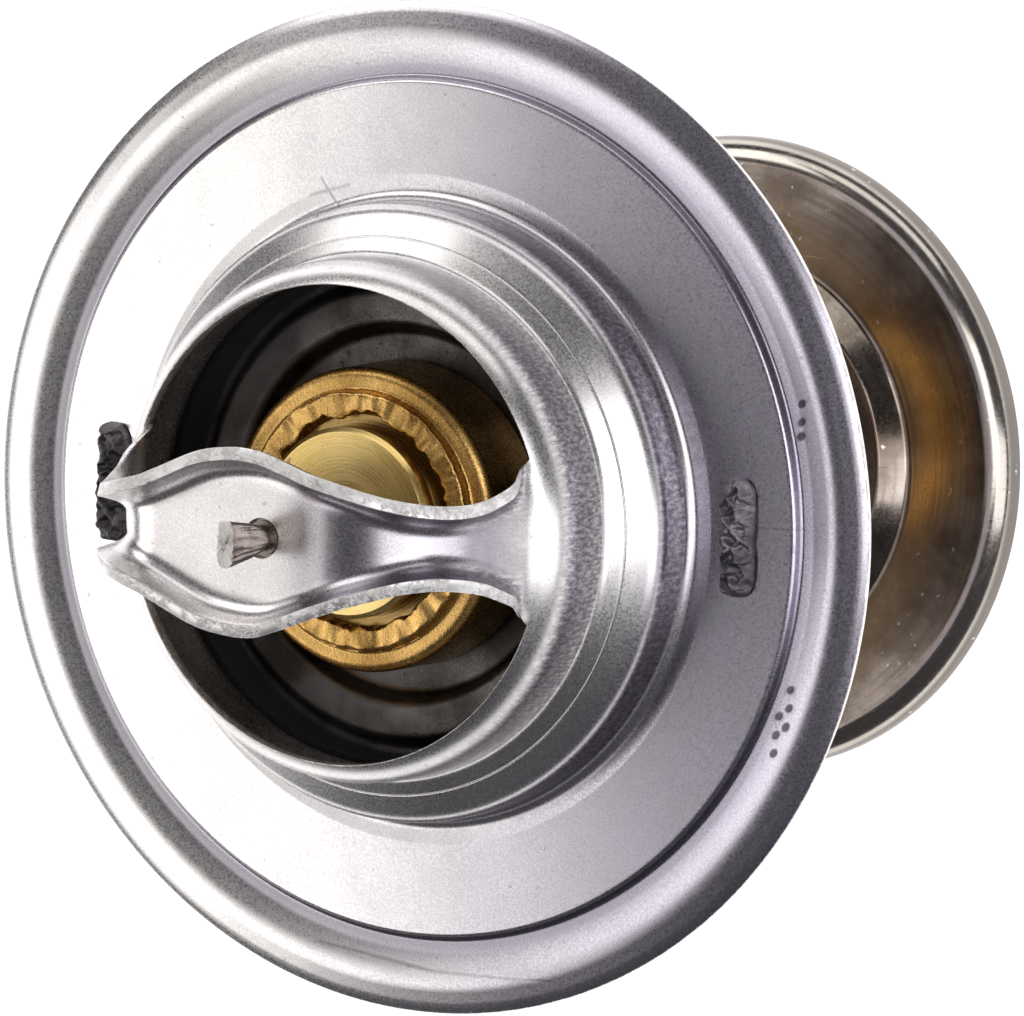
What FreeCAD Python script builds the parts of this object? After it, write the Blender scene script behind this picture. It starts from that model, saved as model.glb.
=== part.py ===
import FreeCAD, Part
import math
import os

import Sketcher

# Engine thermostat of the insert kind, cold and closed, in millimetres.
# The origin is the centre of the flange's rear seating face. +Z runs along the axis, out through the
# bridge, and X runs along the bridge, with the two legs of the lower frame in the same line.

doc = FreeCAD.newDocument("thermostat")

# Driving dimensions
SIZES = [
    ("flange_radius", 33.5, "outer radius of the flange"),
    ("flange_sheet", 0.9, "sheet of the flange, its neck and the bridge"),
    ("rim_width", 5.1, "clamping band at the flange's edge"),
    ("rim_crown", 0.28, "height that the clamping band bulges"),
    ("plateau_step", 0.65, "rise from the clamping band to the plateau at the neck"),
    ("plateau_fall", 0.35, "height that the plateau loses from the neck to its edge"),
    ("foot_fillet", 1.1, "fillet at the neck's foot"),
    ("lower_neck_radius", 20.5, "outer radius of the neck's lower wall"),
    ("lower_neck_height", 5.0, "height of the lower wall's top corner"),
    ("upper_neck_radius", 17.3, "outer radius of the neck's upper wall"),
    ("upper_neck_height", 7.1, "height where the shoulder meets the upper wall"),
    ("neck_height", 12.6, "height of the neck's rounded top"),
    ("neck_rounding", 1.4, "outer radius of the neck's rounded top"),
    ("shoulder_rounding", 1.4, "outer radius between lower wall and shoulder"),
    ("aperture_radius", 15.8, "radius of the round mouth that the bridge crosses"),
    ("bridge_height", 21.75, "height of the bridge's floor, upper face"),
    ("bridge_flat", 8.3, "half length of the bridge's level floor"),
    ("bridge_bend", 3.2, "radius of the bend from floor to leg"),
    ("bridge_slope_angle", 62.0, "slope of the bridge's legs in degrees"),
    ("bridge_root_bend", 2.0, "radius where a leg runs out into the neck"),
    ("bridge_wide", 5.38, "half width of the bridge between its cut edges at the piston"),
    ("bridge_narrow", 1.95, "half width of the bridge at its waists"),
    ("bridge_waist", 12.2, "distance along the bridge from its middle to a waist"),
    ("bridge_root", 5.3, "half width of the bridge where it joins the neck"),
    ("bridge_root_overlap", 0.4, "width of the neck's top that the bridge's ends run on to"),
    ("bridge_lip", 2.0, "height of the bridge's turned-up edges"),
    ("lip_run", 0.66, "width that the straight part of a turned-up edge takes"),
    ("piston_radius", 2.0, "radius of the piston"),
    ("piston_neck_radius", 1.15, "radius of the piston's neck in the bridge"),
    ("bridge_hole_slack", 0.2, "gap between the piston's neck and its hole"),
    ("piston_depth", 14.5, "depth of the piston's lower end below the origin"),
    ("neck_stand", 0.4, "height that the piston's neck stands above the bridge's floor"),
    ("pinch_width", 3.1, "width of the pinched end above the bridge"),
    ("pinch_thickness", 1.2, "thickness of the pinched end"),
    ("pinch_height", 4.1, "height from the neck's end to the pinched tip"),
    ("leg_radius", 24.2, "distance of a frame leg's middle from the axis"),
    ("frame_sheet", 1.5, "sheet of the lower frame"),
    ("leg_width", 9.6, "width of a frame leg"),
    ("tab_width", 7.1, "width of the tab that passes through the flange"),
    ("slot_slack", 0.2, "gap round a tab in its slot"),
    ("stake_height", 0.8, "height of the staked tab above the flange"),
    ("stake_overhang", 0.35, "width that staking adds on each side of a tab"),
    ("leg_drop", 7.0, "depth below the origin where a leg turns inwards"),
    ("frame_depth", 19.6, "depth of the frame's floor, upper face"),
    ("frame_floor_radius", 15.4, "radius of the frame's floor"),
    ("frame_collar_height", 1.9, "height of the guide collar on the frame's floor"),
    ("frame_collar_wall", 1.3, "wall of the guide collar"),
    ("frame_bend", 2.2, "outer radius of the frame's bends"),
    ("cup_radius", 7.8, "outer radius of the wax cup"),
    ("cup_wall", 0.9, "wall of the wax cup"),
    ("cup_depth", 24.0, "depth of the cup's closed end below the origin"),
    ("cup_end_rounding", 1.9, "outer radius of the cup's closed end"),
    ("head_radius", 10.1, "outer radius of the cup's head"),
    ("head_bottom", 3.0, "height of the head's lower face"),
    ("head_top", 9.3, "height of the head's shoulder"),
    ("head_rounding", 1.55, "rounding of the head's shoulder"),
    ("crimp_radius", 8.5, "outer radius of the crimped lip"),
    ("crimp_height", 0.7, "height of the crimped lip above the shoulder"),
    ("crimp_mouth_radius", 7.1, "inner radius of the crimped lip"),
    ("guide_radius", 6.35, "radius of the guide's top disc"),
    ("guide_neck_radius", 5.5, "radius of the guide's neck below its disc"),
    ("guide_top", 11.5, "height of the guide's top face"),
    ("guide_disc", 1.2, "thickness of the guide's top disc"),
    ("guide_chamfer", 0.3, "chamfer of the guide's top disc"),
    ("boot_flange", 1.3, "thickness of the rubber sleeve's clamped flange"),
    ("boot_radius", 4.0, "outer radius of the rubber sleeve"),
    ("boot_end", 1.5, "thickness of the sleeve's closed end"),
    ("backup_thickness", 0.4, "thickness of the backup washer"),
    ("running_gap", 0.06, "radial gap of every sliding fit"),
    ("end_gap", 0.5, "gap below the piston's lower end"),
    ("valve_sheet", 0.9, "sheet of the valve plate"),
    ("valve_flat_radius", 12.0, "radius where the plate's bead starts"),
    ("bead_rise", 1.7, "height of the bead above the plate"),
    ("bead_width", 3.4, "width of the bead at its foot"),
    ("bead_flank", 0.5, "width that each flank of the bead takes"),
    ("valve_rim_rise", 0.7, "height of the plate's outer rim above its middle"),
    ("valve_radius", 18.3, "outer radius of the valve plate"),
    ("seal_lip", 0.8, "rubber beyond the plate's edge"),
    ("seal_inner_radius", 16.2, "inner radius of the seal"),
    ("seat_gap", 0.25, "gap left between seal and seat"),
    ("main_wire", 2.2, "wire of the main spring"),
    ("main_coil_top", 10.9, "mean radius of the main spring's top coil"),
    ("main_coil_bottom", 11.8, "mean radius of the main spring's bottom coil"),
    ("main_turns", 5.0, "turns of the main spring"),
    ("coil_rest", 0.03, "gap between a spring's end turn and its seat"),
    ("stem_radius", 2.5, "radius of the bypass stem"),
    ("stem_flange_radius", 5.0, "radius of the stem's flange on the cup"),
    ("stem_flange", 1.0, "thickness of the stem's flange"),
    ("stem_tail", 0.65, "stem left below the retaining ring"),
    ("washer_radius", 7.3, "radius of the bypass spring's seat washer"),
    ("washer_thickness", 0.8, "thickness of the seat washer"),
    ("bypass_wire", 1.3, "wire of the bypass spring"),
    ("bypass_coil", 6.1, "mean radius of the bypass spring"),
    ("bypass_turns", 4.5, "turns of the bypass spring"),
    ("bypass_radius", 21.2, "outer radius of the bypass disc"),
    ("bypass_sheet", 0.8, "sheet of the bypass disc"),
    ("bypass_face", 37.45, "depth of the disc's flat face below the origin"),
    ("bypass_skirt", 2.0, "depth of the disc's skirt"),
    ("bypass_rounding", 1.8, "outer radius between face and skirt"),
    ("hub_foot_radius", 13.7, "radius where the hub rises from the face"),
    ("hub_top_radius", 12.2, "radius of the hub's upper edge"),
    ("hub_rise", 1.5, "height of the hub above the face"),
    ("recess_radius", 9.6, "radius of the recess that holds the spring"),
    ("recess_depth", 0.8, "depth of the recess"),
    ("ring_radius", 4.3, "outer radius of the retaining ring"),
    ("ring_groove", 0.45, "depth of the ring's groove in the stem"),
    ("ring_thickness", 0.8, "thickness of the retaining ring"),
    ("ring_mouth", 70.0, "open angle of the retaining ring in degrees"),
]

sheet = doc.addObject("Spreadsheet::Sheet", "sizes")
for row, (alias, value, meaning) in enumerate(SIZES, start=1):
    sheet.set("A%d" % row, meaning)
    sheet.set("B%d" % row, str(value))
    sheet.setAlias("B%d" % row, alias)

# Levels and radii that follow from the driving dimensions
LEVELS = [
    ("plateau_top", "sizes.flange_sheet + sizes.plateau_step"),
    ("plateau_edge", "sizes.flange_radius - sizes.rim_width"),
    ("plateau_rim", "plateau_top - sizes.plateau_fall"),
    ("step_foot", "plateau_edge + plateau_rim - sizes.flange_sheet"),
    ("plateau_taper", "sizes.plateau_fall / (plateau_edge - sizes.lower_neck_radius)"),
    ("back_foot", "sizes.lower_neck_radius - sizes.flange_sheet"),
    ("back_edge", "plateau_edge - 0.5 * sizes.flange_sheet"),
    ("leg_corner", "sqrt((sizes.leg_radius + sizes.frame_sheet / 2)^2 + (sizes.leg_width / 2)^2)"),
    ("leg_shoulder", "sizes.plateau_step"
                     " - sizes.plateau_fall * (leg_corner - back_foot) / (back_edge - back_foot)"),
    ("stake_seat", "plateau_top - plateau_taper * (sizes.leg_radius - sizes.frame_sheet / 2"
                   " - sizes.stake_overhang - sizes.lower_neck_radius)"),
    ("neck_slope", "atan((sizes.upper_neck_height - sizes.lower_neck_height)"
                   " / (sizes.lower_neck_radius - sizes.upper_neck_radius))"),
    ("seat_drop", "sizes.flange_sheet / cos(neck_slope)"),
    ("back_shift", "sizes.flange_sheet * tan(neck_slope) - seat_drop"),
    ("frame_bottom", "0 - sizes.frame_depth - sizes.frame_sheet"),
    ("frame_hole", "sizes.cup_radius + sizes.running_gap"),
    ("cup_bore", "sizes.cup_radius - sizes.cup_wall"),
    ("head_bore", "sizes.head_radius - sizes.cup_wall"),
    ("head_floor", "sizes.head_bottom + sizes.cup_wall"),
    ("boot_flange_top", "head_floor + sizes.boot_flange"),
    ("backup_top", "boot_flange_top + sizes.backup_thickness"),
    ("crimp_top", "sizes.head_top + sizes.crimp_height"),
    ("crimp_under", "crimp_top - sizes.cup_wall"),
    ("piston_bore", "sizes.piston_radius + sizes.running_gap"),
    ("boot_bore_end", "0 - sizes.piston_depth - sizes.end_gap"),
    ("boot_bottom", "boot_bore_end - sizes.boot_end"),
    ("valve_under", "sizes.head_bottom - sizes.valve_sheet"),
    ("bead_top", "sizes.head_bottom + sizes.bead_rise"),
    ("bead_outer", "sizes.valve_flat_radius + sizes.bead_width"),
    ("valve_rim_top", "sizes.head_bottom + sizes.valve_rim_rise"),
    ("stem_flange_under", "0 - sizes.cup_depth - sizes.stem_flange"),
    ("washer_under", "stem_flange_under - sizes.washer_thickness"),
    ("bypass_top", "0 - sizes.bypass_face"),
    ("bypass_bottom", "bypass_top - sizes.bypass_skirt"),
    ("hub_top", "bypass_top + sizes.hub_rise"),
    ("recess_top", "hub_top - sizes.recess_depth"),
    ("recess_under", "recess_top - sizes.bypass_sheet"),
    ("ring_under", "recess_under - sizes.ring_thickness"),
    ("stem_bottom", "ring_under - sizes.stem_tail"),
    ("groove_radius", "sizes.stem_radius - sizes.ring_groove"),
]

levels = doc.addObject("Spreadsheet::Sheet", "levels")
for row, (alias, formula) in enumerate(LEVELS, start=1):
    levels.set("A%d" % row, alias.replace("_", " "))
    levels.set("B%d" % row, "=" + formula)
    levels.setAlias("B%d" % row, alias)
doc.recompute()


def size(alias):
    """Value of a driving dimension."""
    return float(sheet.get(alias))


def level(alias):
    """Value of a level or radius that follows from the driving dimensions."""
    value = levels.get(alias)
    return float(getattr(value, "Value", value))


def number(expression):
    """Value of an expression in the two sheets."""
    value = sheet.evalExpression(expression)
    return float(getattr(value, "Value", value))


def plane(body, role):
    """Origin plane or axis of a body, found by its role."""
    return next(item for item in body.Origin.OriginFeatures if item.Role == role)


def outline_sketch(body, name, role, corners):
    """Closed anticlockwise outline, each corner bound to two expressions.

    A corner's third expression, where it has one, bows the edge that starts there outwards.
    """
    sketch = body.newObject("Sketcher::SketchObject", name)
    sketch.AttachmentSupport = [(plane(body, role), "")]
    sketch.MapMode = "FlatFace"
    points = [FreeCAD.Vector(number(corner[0]), number(corner[1]), 0) for corner in corners]
    for index, corner in enumerate(corners):
        start, end = points[index], points[(index + 1) % len(points)]
        if len(corner) == 2:
            sketch.addGeometry(Part.LineSegment(start, end), False)
        else:
            outwards = FreeCAD.Vector(end.y - start.y, start.x - end.x, 0).normalize()
            middle = (start + end) * 0.5 + outwards * number(corner[2])
            sketch.addGeometry(Part.Arc(start, middle, end), False)
    for index in range(len(points)):
        sketch.addConstraint(Sketcher.Constraint("Coincident", index, 2, (index + 1) % len(points), 1))
    for index, corner in enumerate(corners):
        bind(sketch, "across%d" % index, "DistanceX", index, corner[0], points[index].x)
        bind(sketch, "along%d" % index, "DistanceY", index, corner[1], points[index].y)
        if len(corner) == 3:
            chord = (points[(index + 1) % len(points)] - points[index]).Length
            radius = "(%.9f + (%s)^2) / (2 * (%s))" % (chord ** 2 / 4, corner[2], corner[2])
            row = sketch.addConstraint(Sketcher.Constraint("Radius", index, number(radius)))
            sketch.renameConstraint(row, "bow%d" % index)
            sketch.setExpression("Constraints.bow%d" % index, radius)
    return sketch


def bind(sketch, name, kind, index, expression, value):
    """Hold one coordinate of a corner at an expression."""
    row = sketch.addConstraint(Sketcher.Constraint(kind, -1, 1, index, 1, value))
    sketch.renameConstraint(row, name)
    sketch.setExpression("Constraints." + name, expression)


def turned(name, corners):
    """Body turned about Z from a closed outline of (radius, height) expressions."""
    body = doc.addObject("PartDesign::Body", name)
    body.Label = name
    sketch = outline_sketch(body, name + "_outline", "XZ_Plane", corners)
    turn = body.newObject("PartDesign::Revolution", name + "_turn")
    turn.Profile = sketch
    turn.ReferenceAxis = (sketch, ["V_Axis"])
    turn.Angle = 360
    body.Tip = turn
    doc.recompute()
    return body


def ring_edges(shape, spots):
    """Names of the circular edges at the given (radius, height) expressions."""
    names = []
    for radius, height in spots:
        r, z = number(radius), number(height)
        for index, edge in enumerate(shape.Edges, start=1):
            curve = edge.Curve
            if isinstance(curve, Part.Circle) and abs(curve.Radius - r) < 1e-4 and abs(curve.Center.z - z) < 1e-4:
                names.append("Edge%d" % index)
    return names


def rounded(body, name, radius, names):
    """Fillet on the named edges of the body's last feature."""
    base = body.Tip
    fillet = body.newObject("PartDesign::Fillet", name)
    fillet.Base = (base, names)
    fillet.setExpression("Radius", radius)
    body.Tip = fillet
    doc.recompute()
    return fillet


def padded(body, name, role, corners, length, middle=True, downwards=False):
    """Pad of an outline on one of the body's origin planes."""
    sketch = outline_sketch(body, name + "_outline", role, corners)
    pad = body.newObject("PartDesign::Pad", name)
    pad.Profile = sketch
    pad.setExpression("Length", length)
    pad.Midplane = middle
    pad.Reversed = downwards
    body.Tip = pad
    doc.recompute()
    return pad


# Flange with its neck: pressed sheet, turned here from its section
def make_pressing():
    """Rim, plateau, foot, lower wall, sloping shoulder, upper wall and rounded mouth."""
    front = [
        ("sizes.flange_radius", "0"),
        ("sizes.flange_radius", "sizes.flange_sheet", "sizes.rim_crown"),
        ("levels.step_foot", "sizes.flange_sheet"),
        ("levels.plateau_edge", "levels.plateau_rim"),
        ("sizes.lower_neck_radius", "levels.plateau_top"),
        ("sizes.lower_neck_radius", "sizes.lower_neck_height"),
        ("sizes.upper_neck_radius", "sizes.upper_neck_height"),
        ("sizes.upper_neck_radius", "sizes.neck_height"),
        ("sizes.aperture_radius", "sizes.neck_height"),
    ]
    back = [
        ("sizes.aperture_radius", "sizes.neck_height - sizes.flange_sheet"),
        ("sizes.upper_neck_radius - sizes.flange_sheet", "sizes.neck_height - sizes.flange_sheet"),
        ("sizes.upper_neck_radius - sizes.flange_sheet", "sizes.upper_neck_height + levels.back_shift"),
        ("levels.back_foot", "sizes.lower_neck_height + levels.back_shift"),
        ("levels.back_foot", "sizes.plateau_step"),
        ("levels.back_edge", "sizes.plateau_step - sizes.plateau_fall"),
        ("levels.step_foot - 0.5 * sizes.flange_sheet", "0"),
    ]
    body = turned("pressing", front + back)
    outer = "sizes.lower_neck_radius"
    inner = "levels.back_foot"
    rounded(body, "foot", "sizes.foot_fillet", ring_edges(body.Shape, [(outer, "levels.plateau_top")]))
    rounded(body, "foot_back", "sizes.foot_fillet + sizes.flange_sheet",
            ring_edges(body.Shape, [(inner, "sizes.plateau_step")]))
    rounded(body, "shoulder", "sizes.shoulder_rounding",
            ring_edges(body.Shape, [(outer, "sizes.lower_neck_height")]))
    rounded(body, "mouth", "sizes.neck_rounding",
            ring_edges(body.Shape, [("sizes.upper_neck_radius", "sizes.neck_height")]))
    return body


# Bridge: the strap drawn up from the same sheet, a trough whose cut edges stand up
def bridge_stations():
    """Runs along half of the bridge at which it gets a section, from its middle to its root."""
    slope = math.radians(size("bridge_slope_angle"))
    flat, bend, root = size("bridge_flat"), size("bridge_bend") * slope, size("bridge_root_bend") * slope
    fall = size("bridge_height") - size("neck_height")
    bends_fall = (size("bridge_bend") + size("bridge_root_bend")) * (1 - math.cos(slope))
    leg = (fall - bends_fall) / math.sin(slope)
    starts = (0.0, flat, flat + bend, flat + bend + leg)
    shares = ((flat, 4), (bend, 3), (leg, 4), (root, 2))
    runs = [0.0]
    for start, (length, count) in zip(starts, shares):
        runs += [start + length * step / count for step in range(1, count + 1)]
    return runs


def bridge_line(run, leg_end):
    """Distance from the axis, height and slope of the bridge's floor after a run from its middle."""
    slope = math.radians(size("bridge_slope_angle"))
    flat, bend, root = size("bridge_flat"), size("bridge_bend"), size("bridge_root_bend")
    top = size("bridge_height")
    if run <= flat:
        return run, top, 0.0
    turn = min(slope, (run - flat) / bend)
    x, z = flat + bend * math.sin(turn), top - bend * (1 - math.cos(turn))
    down = min(run, leg_end) - flat - bend * slope
    if down <= 0:
        return x, z, turn
    x, z = x + down * math.cos(slope), z - down * math.sin(slope)
    left = slope - max(0.0, run - leg_end) / root
    x += root * (math.sin(slope) - math.sin(left))
    return x, z - root * (math.cos(left) - math.cos(slope)), left


def bridge_width(run, end):
    """Half width between the bridge's cut edges after a run from its middle."""
    waist, narrow = size("bridge_waist"), size("bridge_narrow")
    if run <= waist:
        return narrow + (size("bridge_wide") - narrow) * math.cos(0.5 * math.pi * run / waist) ** 2
    return narrow + (size("bridge_root") - narrow) * ((run - waist) / (end - waist)) ** 2


def trough_section(run, runs, side):
    """Closed section of the trough, square to the bridge's line."""
    x, z, slope = bridge_line(run, runs[-3])
    gauge, half, waist = size("flange_sheet"), bridge_width(run, runs[-1]), size("bridge_waist")
    fade = 1 - (max(0.0, run - waist) / (runs[-1] - waist)) ** 2
    lip = size("bridge_lip") * fade
    floor = half - size("lip_run")
    # A cubic curve whose inner poles lie a third of the lip below the floor touches the floor in its middle
    tilt = math.atan2(lip * 4 / 3, size("lip_run"))
    edge_out, edge_down = gauge * math.sin(tilt), gauge * math.cos(tilt)
    upper = [(-half, lip), (-floor, -lip / 3), (floor, -lip / 3), (half, lip)]
    under = -(8 * gauge + 2 * (lip - edge_down)) / 6
    reach, drop = half + edge_out, lip - edge_down
    under_floor = floor + 0.75 * edge_out
    lower = [(reach, drop), (under_floor, under), (-under_floor, under), (-reach, drop)]

    def place(across, above):
        return FreeCAD.Vector(side * (x + above * math.sin(slope)), across, z + above * math.cos(slope))

    top_curve, bottom_curve = Part.BezierCurve(), Part.BezierCurve()
    top_curve.setPoles([place(*pole) for pole in upper])
    bottom_curve.setPoles([place(*pole) for pole in lower])
    right = Part.LineSegment(place(*upper[3]), place(*lower[0]))
    left = Part.LineSegment(place(*lower[3]), place(*upper[0]))
    return Part.Wire([top_curve.toShape(), right.toShape(), bottom_curve.toShape(), left.toShape()])


def make_bridge():
    """Strap lofted from one root over the piston to the other, its ends trimmed round on the neck's top."""
    runs = bridge_stations()
    stations = [(run, -1) for run in reversed(runs[1:])] + [(run, 1) for run in runs]
    strap = doc.addObject("Part::Feature", "strap")
    strap.Shape = Part.makeLoft([trough_section(run, runs, side) for run, side in stations], True, False)
    beyond = doc.addObject("Part::Cut", "beyond_roots")
    beyond.Base = bound_cylinder("beyond_outer", "sizes.flange_radius", "2 * sizes.bridge_height", "0")
    beyond.Tool = bound_cylinder("beyond_inner", "sizes.aperture_radius + sizes.bridge_root_overlap",
                                 "2 * sizes.bridge_height", "0")
    bridge = doc.addObject("Part::Cut", "bridge")
    bridge.Base = strap
    bridge.Tool = beyond
    return bridge


def bound_box(name, width, depth, height, x, y, z):
    """Box whose sizes and lowest corner are expressions."""
    box = doc.addObject("Part::Box", name)
    for prop, value in (("Length", width), ("Width", depth), ("Height", height),
                        (".Placement.Base.x", x), (".Placement.Base.y", y), (".Placement.Base.z", z)):
        box.setExpression(prop, value)
    return box


def bound_cylinder(name, radius, height, z):
    """Upright cylinder on the axis, with sizes and foot given as expressions."""
    cylinder = doc.addObject("Part::Cylinder", name)
    for prop, value in (("Radius", radius), ("Height", height), (".Placement.Base.z", z)):
        cylinder.setExpression(prop, value)
    return cylinder


def make_flange_bridge():
    """Pressing and bridge as one sheet, pierced for the piston and for the frame's two tabs."""
    sheet_metal = doc.addObject("Part::Fuse", "flange_sheet_metal")
    sheet_metal.Base = make_pressing()
    sheet_metal.Tool = make_bridge()
    slot_length = "sizes.frame_sheet + 2 * sizes.slot_slack"
    slot_width = "sizes.tab_width + 2 * sizes.slot_slack"
    slots = [bound_box(name, slot_length, slot_width, "levels.plateau_top + sizes.flange_sheet",
                       "%s * sizes.leg_radius - (%s) / 2" % (side, slot_length),
                       "0 - (%s) / 2" % slot_width, "0 - sizes.flange_sheet")
             for name, side in (("slot_right", "1"), ("slot_left", "-1"))]
    hole = bound_cylinder("piston_hole", "sizes.piston_neck_radius + sizes.bridge_hole_slack",
                          "sizes.bridge_height", "sizes.neck_height")
    openings = doc.addObject("Part::MultiFuse", "flange_openings")
    openings.Shapes = slots + [hole]
    flange = doc.addObject("Part::Cut", "flange_bridge")
    flange.Base = sheet_metal
    flange.Tool = openings
    flange.Refine = True
    doc.recompute()
    return flange


# Piston: a steel pin whose shoulder bears on the bridge and whose end is pinched above it
def make_piston():
    """Shaft, shoulder and neck through the bridge, and the end that flattens to a wide tip."""
    under = "sizes.bridge_height - sizes.flange_sheet"
    over = "sizes.bridge_height + sizes.neck_stand"
    body = turned("piston_shaft", [
        ("0", "0 - sizes.piston_depth"),
        ("sizes.piston_radius", "0 - sizes.piston_depth"),
        ("sizes.piston_radius", under),
        ("sizes.piston_neck_radius", under),
        ("sizes.piston_neck_radius", over),
        ("0", over),
    ])
    rounded(body, "piston_end", "0.2 * sizes.piston_radius",
            ring_edges(body.Shape, [("sizes.piston_radius", "0 - sizes.piston_depth")]))
    foot = doc.addObject("Part::Circle", "pinch_foot")
    foot.setExpression("Radius", "sizes.piston_neck_radius")
    foot.setExpression(".Placement.Base.z", over)
    tip = doc.addObject("Part::Ellipse", "pinch_tip")
    tip.setExpression("MajorRadius", "sizes.pinch_width / 2")
    tip.setExpression("MinorRadius", "sizes.pinch_thickness / 2")
    tip.Placement.Rotation = FreeCAD.Rotation(FreeCAD.Vector(0, 0, 1), 90)
    tip.setExpression(".Placement.Base.z", over + " + sizes.pinch_height")
    foot.Placement.Rotation = tip.Placement.Rotation
    pinch = doc.addObject("Part::Loft", "pinch")
    pinch.Sections = [foot, tip]
    pinch.Solid = True
    pinch.Ruled = True
    piston = doc.addObject("Part::Fuse", "piston")
    piston.Base = body
    piston.Tool = pinch
    doc.recompute()
    return piston


# Lower frame: a steel stirrup that carries the spring and guides the wax cup
def make_lower_frame():
    """Two legs bent in to a round floor with a guide collar, and staked tabs through the flange."""
    body = doc.addObject("PartDesign::Body", "lower_frame")
    body.Label = "lower_frame"
    outer, inner = "sizes.leg_radius + sizes.frame_sheet / 2", "sizes.leg_radius - sizes.frame_sheet / 2"
    floor_top = "0 - sizes.frame_depth"
    half = [
        (outer, "levels.leg_shoulder"),
        (inner, "levels.leg_shoulder"),
        (inner, "0 - sizes.leg_drop + 0.25 * sizes.frame_sheet"),
        ("sizes.frame_floor_radius - 0.3 * sizes.frame_sheet", floor_top),
    ]
    mirrored = [("0 - (%s)" % across, along) for across, along in reversed(half)]
    low = "sizes.frame_floor_radius + 0.3 * sizes.frame_sheet"
    under = [
        (outer, "0 - sizes.leg_drop - 0.25 * sizes.frame_sheet"),
        (low, "levels.frame_bottom"),
    ]
    under_mirrored = [("0 - (%s)" % across, along) for across, along in under]
    corners = half + mirrored + under_mirrored + list(reversed(under))
    padded(body, "legs", "XZ_Plane", corners, "sizes.leg_width")
    bends = straight_edges(body.Shape, [(outer, under[0][1]), (low, under[1][1])])
    rounded(body, "frame_bends", "sizes.frame_bend", bends)
    disc(body, "frame_floor", "sizes.frame_floor_radius", "sizes.frame_sheet", floor_top)
    collar_radius = "levels.frame_hole + sizes.frame_collar_wall"
    disc(body, "guide_collar", collar_radius, "sizes.frame_sheet + sizes.frame_collar_height",
         "%s + sizes.frame_collar_height" % floor_top)
    disc(body, "frame_hole", "levels.frame_hole", "2 * sizes.frame_depth", "0", cut=True)
    half_tab = "sizes.frame_sheet / 2"
    half_stake = half_tab + " + sizes.stake_overhang"
    for name, side in (("right", "1"), ("left", "-1")):
        middle = side + " * sizes.leg_radius"
        padded(body, "tab_" + name, "XZ_Plane",
               rectangle(middle, half_tab, "levels.leg_shoulder", "levels.stake_seat"), "sizes.tab_width")
        padded(body, "stake_" + name, "XZ_Plane",
               rectangle(middle, half_stake, "levels.stake_seat",
                         "levels.stake_seat + sizes.stake_height"),
               "sizes.tab_width + 2 * sizes.stake_overhang")
    return body


def rectangle(middle, half, low, high):
    """Corners of an upright rectangle about a middle line."""
    left, right = "%s - (%s)" % (middle, half), "%s + (%s)" % (middle, half)
    return [(left, low), (right, low), (right, high), (left, high)]


def disc(body, name, radius, thickness, top, cut=False):
    """Round pad or pocket on the axis, from the given height downwards."""
    sketch = body.newObject("Sketcher::SketchObject", name + "_circle")
    sketch.AttachmentSupport = [(plane(body, "XY_Plane"), "")]
    sketch.MapMode = "FlatFace"
    sketch.setExpression(".AttachmentOffset.Base.z", top)
    sketch.addGeometry(Part.Circle(FreeCAD.Vector(0, 0, 0), FreeCAD.Vector(0, 0, 1), number(radius)), False)
    sketch.addConstraint(Sketcher.Constraint("Coincident", 0, 3, -1, 1))
    row = sketch.addConstraint(Sketcher.Constraint("Radius", 0, number(radius)))
    sketch.renameConstraint(row, "radius")
    sketch.setExpression("Constraints.radius", radius)
    feature = body.newObject("PartDesign::Pocket" if cut else "PartDesign::Pad", name)
    feature.Profile = sketch
    feature.setExpression("Length", thickness)
    feature.Reversed = not cut
    body.Tip = feature
    doc.recompute()
    return feature


def straight_edges(shape, spots):
    """Names of the edges that run along Y at the given (distance from the axis, height)."""
    names = []
    for across, height in spots:
        x, z = number(across), number(height)
        for index, edge in enumerate(shape.Edges, start=1):
            middle = edge.BoundBox.Center
            flat = edge.BoundBox.XLength + edge.BoundBox.ZLength < 1e-6
            if flat and abs(abs(middle.x) - x) < 1e-4 and abs(middle.z - z) < 1e-4:
                names.append("Edge%d" % index)
    return names


# Wax element: brass cup with its head crimped over the guide, rubber sleeve and wax inside
def make_capsule_cup():
    """Drawn brass cup: closed end, straight wall, wider head and the crimped lip."""
    body = turned("capsule_cup", [
        ("0", "0 - sizes.cup_depth"),
        ("sizes.cup_radius", "0 - sizes.cup_depth"),
        ("sizes.cup_radius", "sizes.head_bottom"),
        ("sizes.head_radius", "sizes.head_bottom"),
        ("sizes.head_radius", "sizes.head_top"),
        ("sizes.crimp_radius", "sizes.head_top"),
        ("sizes.crimp_radius", "levels.crimp_top"),
        ("sizes.crimp_mouth_radius", "levels.crimp_top"),
        ("sizes.crimp_mouth_radius", "levels.crimp_under"),
        ("levels.head_bore", "levels.crimp_under"),
        ("levels.head_bore", "levels.head_floor"),
        ("levels.cup_bore", "levels.head_floor"),
        ("levels.cup_bore", "sizes.cup_wall - sizes.cup_depth"),
        ("0", "sizes.cup_wall - sizes.cup_depth"),
    ])
    rounded(body, "head_shoulder", "sizes.head_rounding",
            ring_edges(body.Shape, [("sizes.head_radius", "sizes.head_top")]))
    rounded(body, "crimp_edge", "0.4 * sizes.crimp_height",
            ring_edges(body.Shape, [("sizes.crimp_radius", "levels.crimp_top"),
                                    ("sizes.crimp_mouth_radius", "levels.crimp_top")]))
    rounded(body, "cup_end", "sizes.cup_end_rounding",
            ring_edges(body.Shape, [("sizes.cup_radius", "0 - sizes.cup_depth")]))
    rounded(body, "cup_end_inside", "sizes.cup_end_rounding - sizes.cup_wall",
            ring_edges(body.Shape, [("levels.cup_bore", "sizes.cup_wall - sizes.cup_depth")]))
    return body


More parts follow.
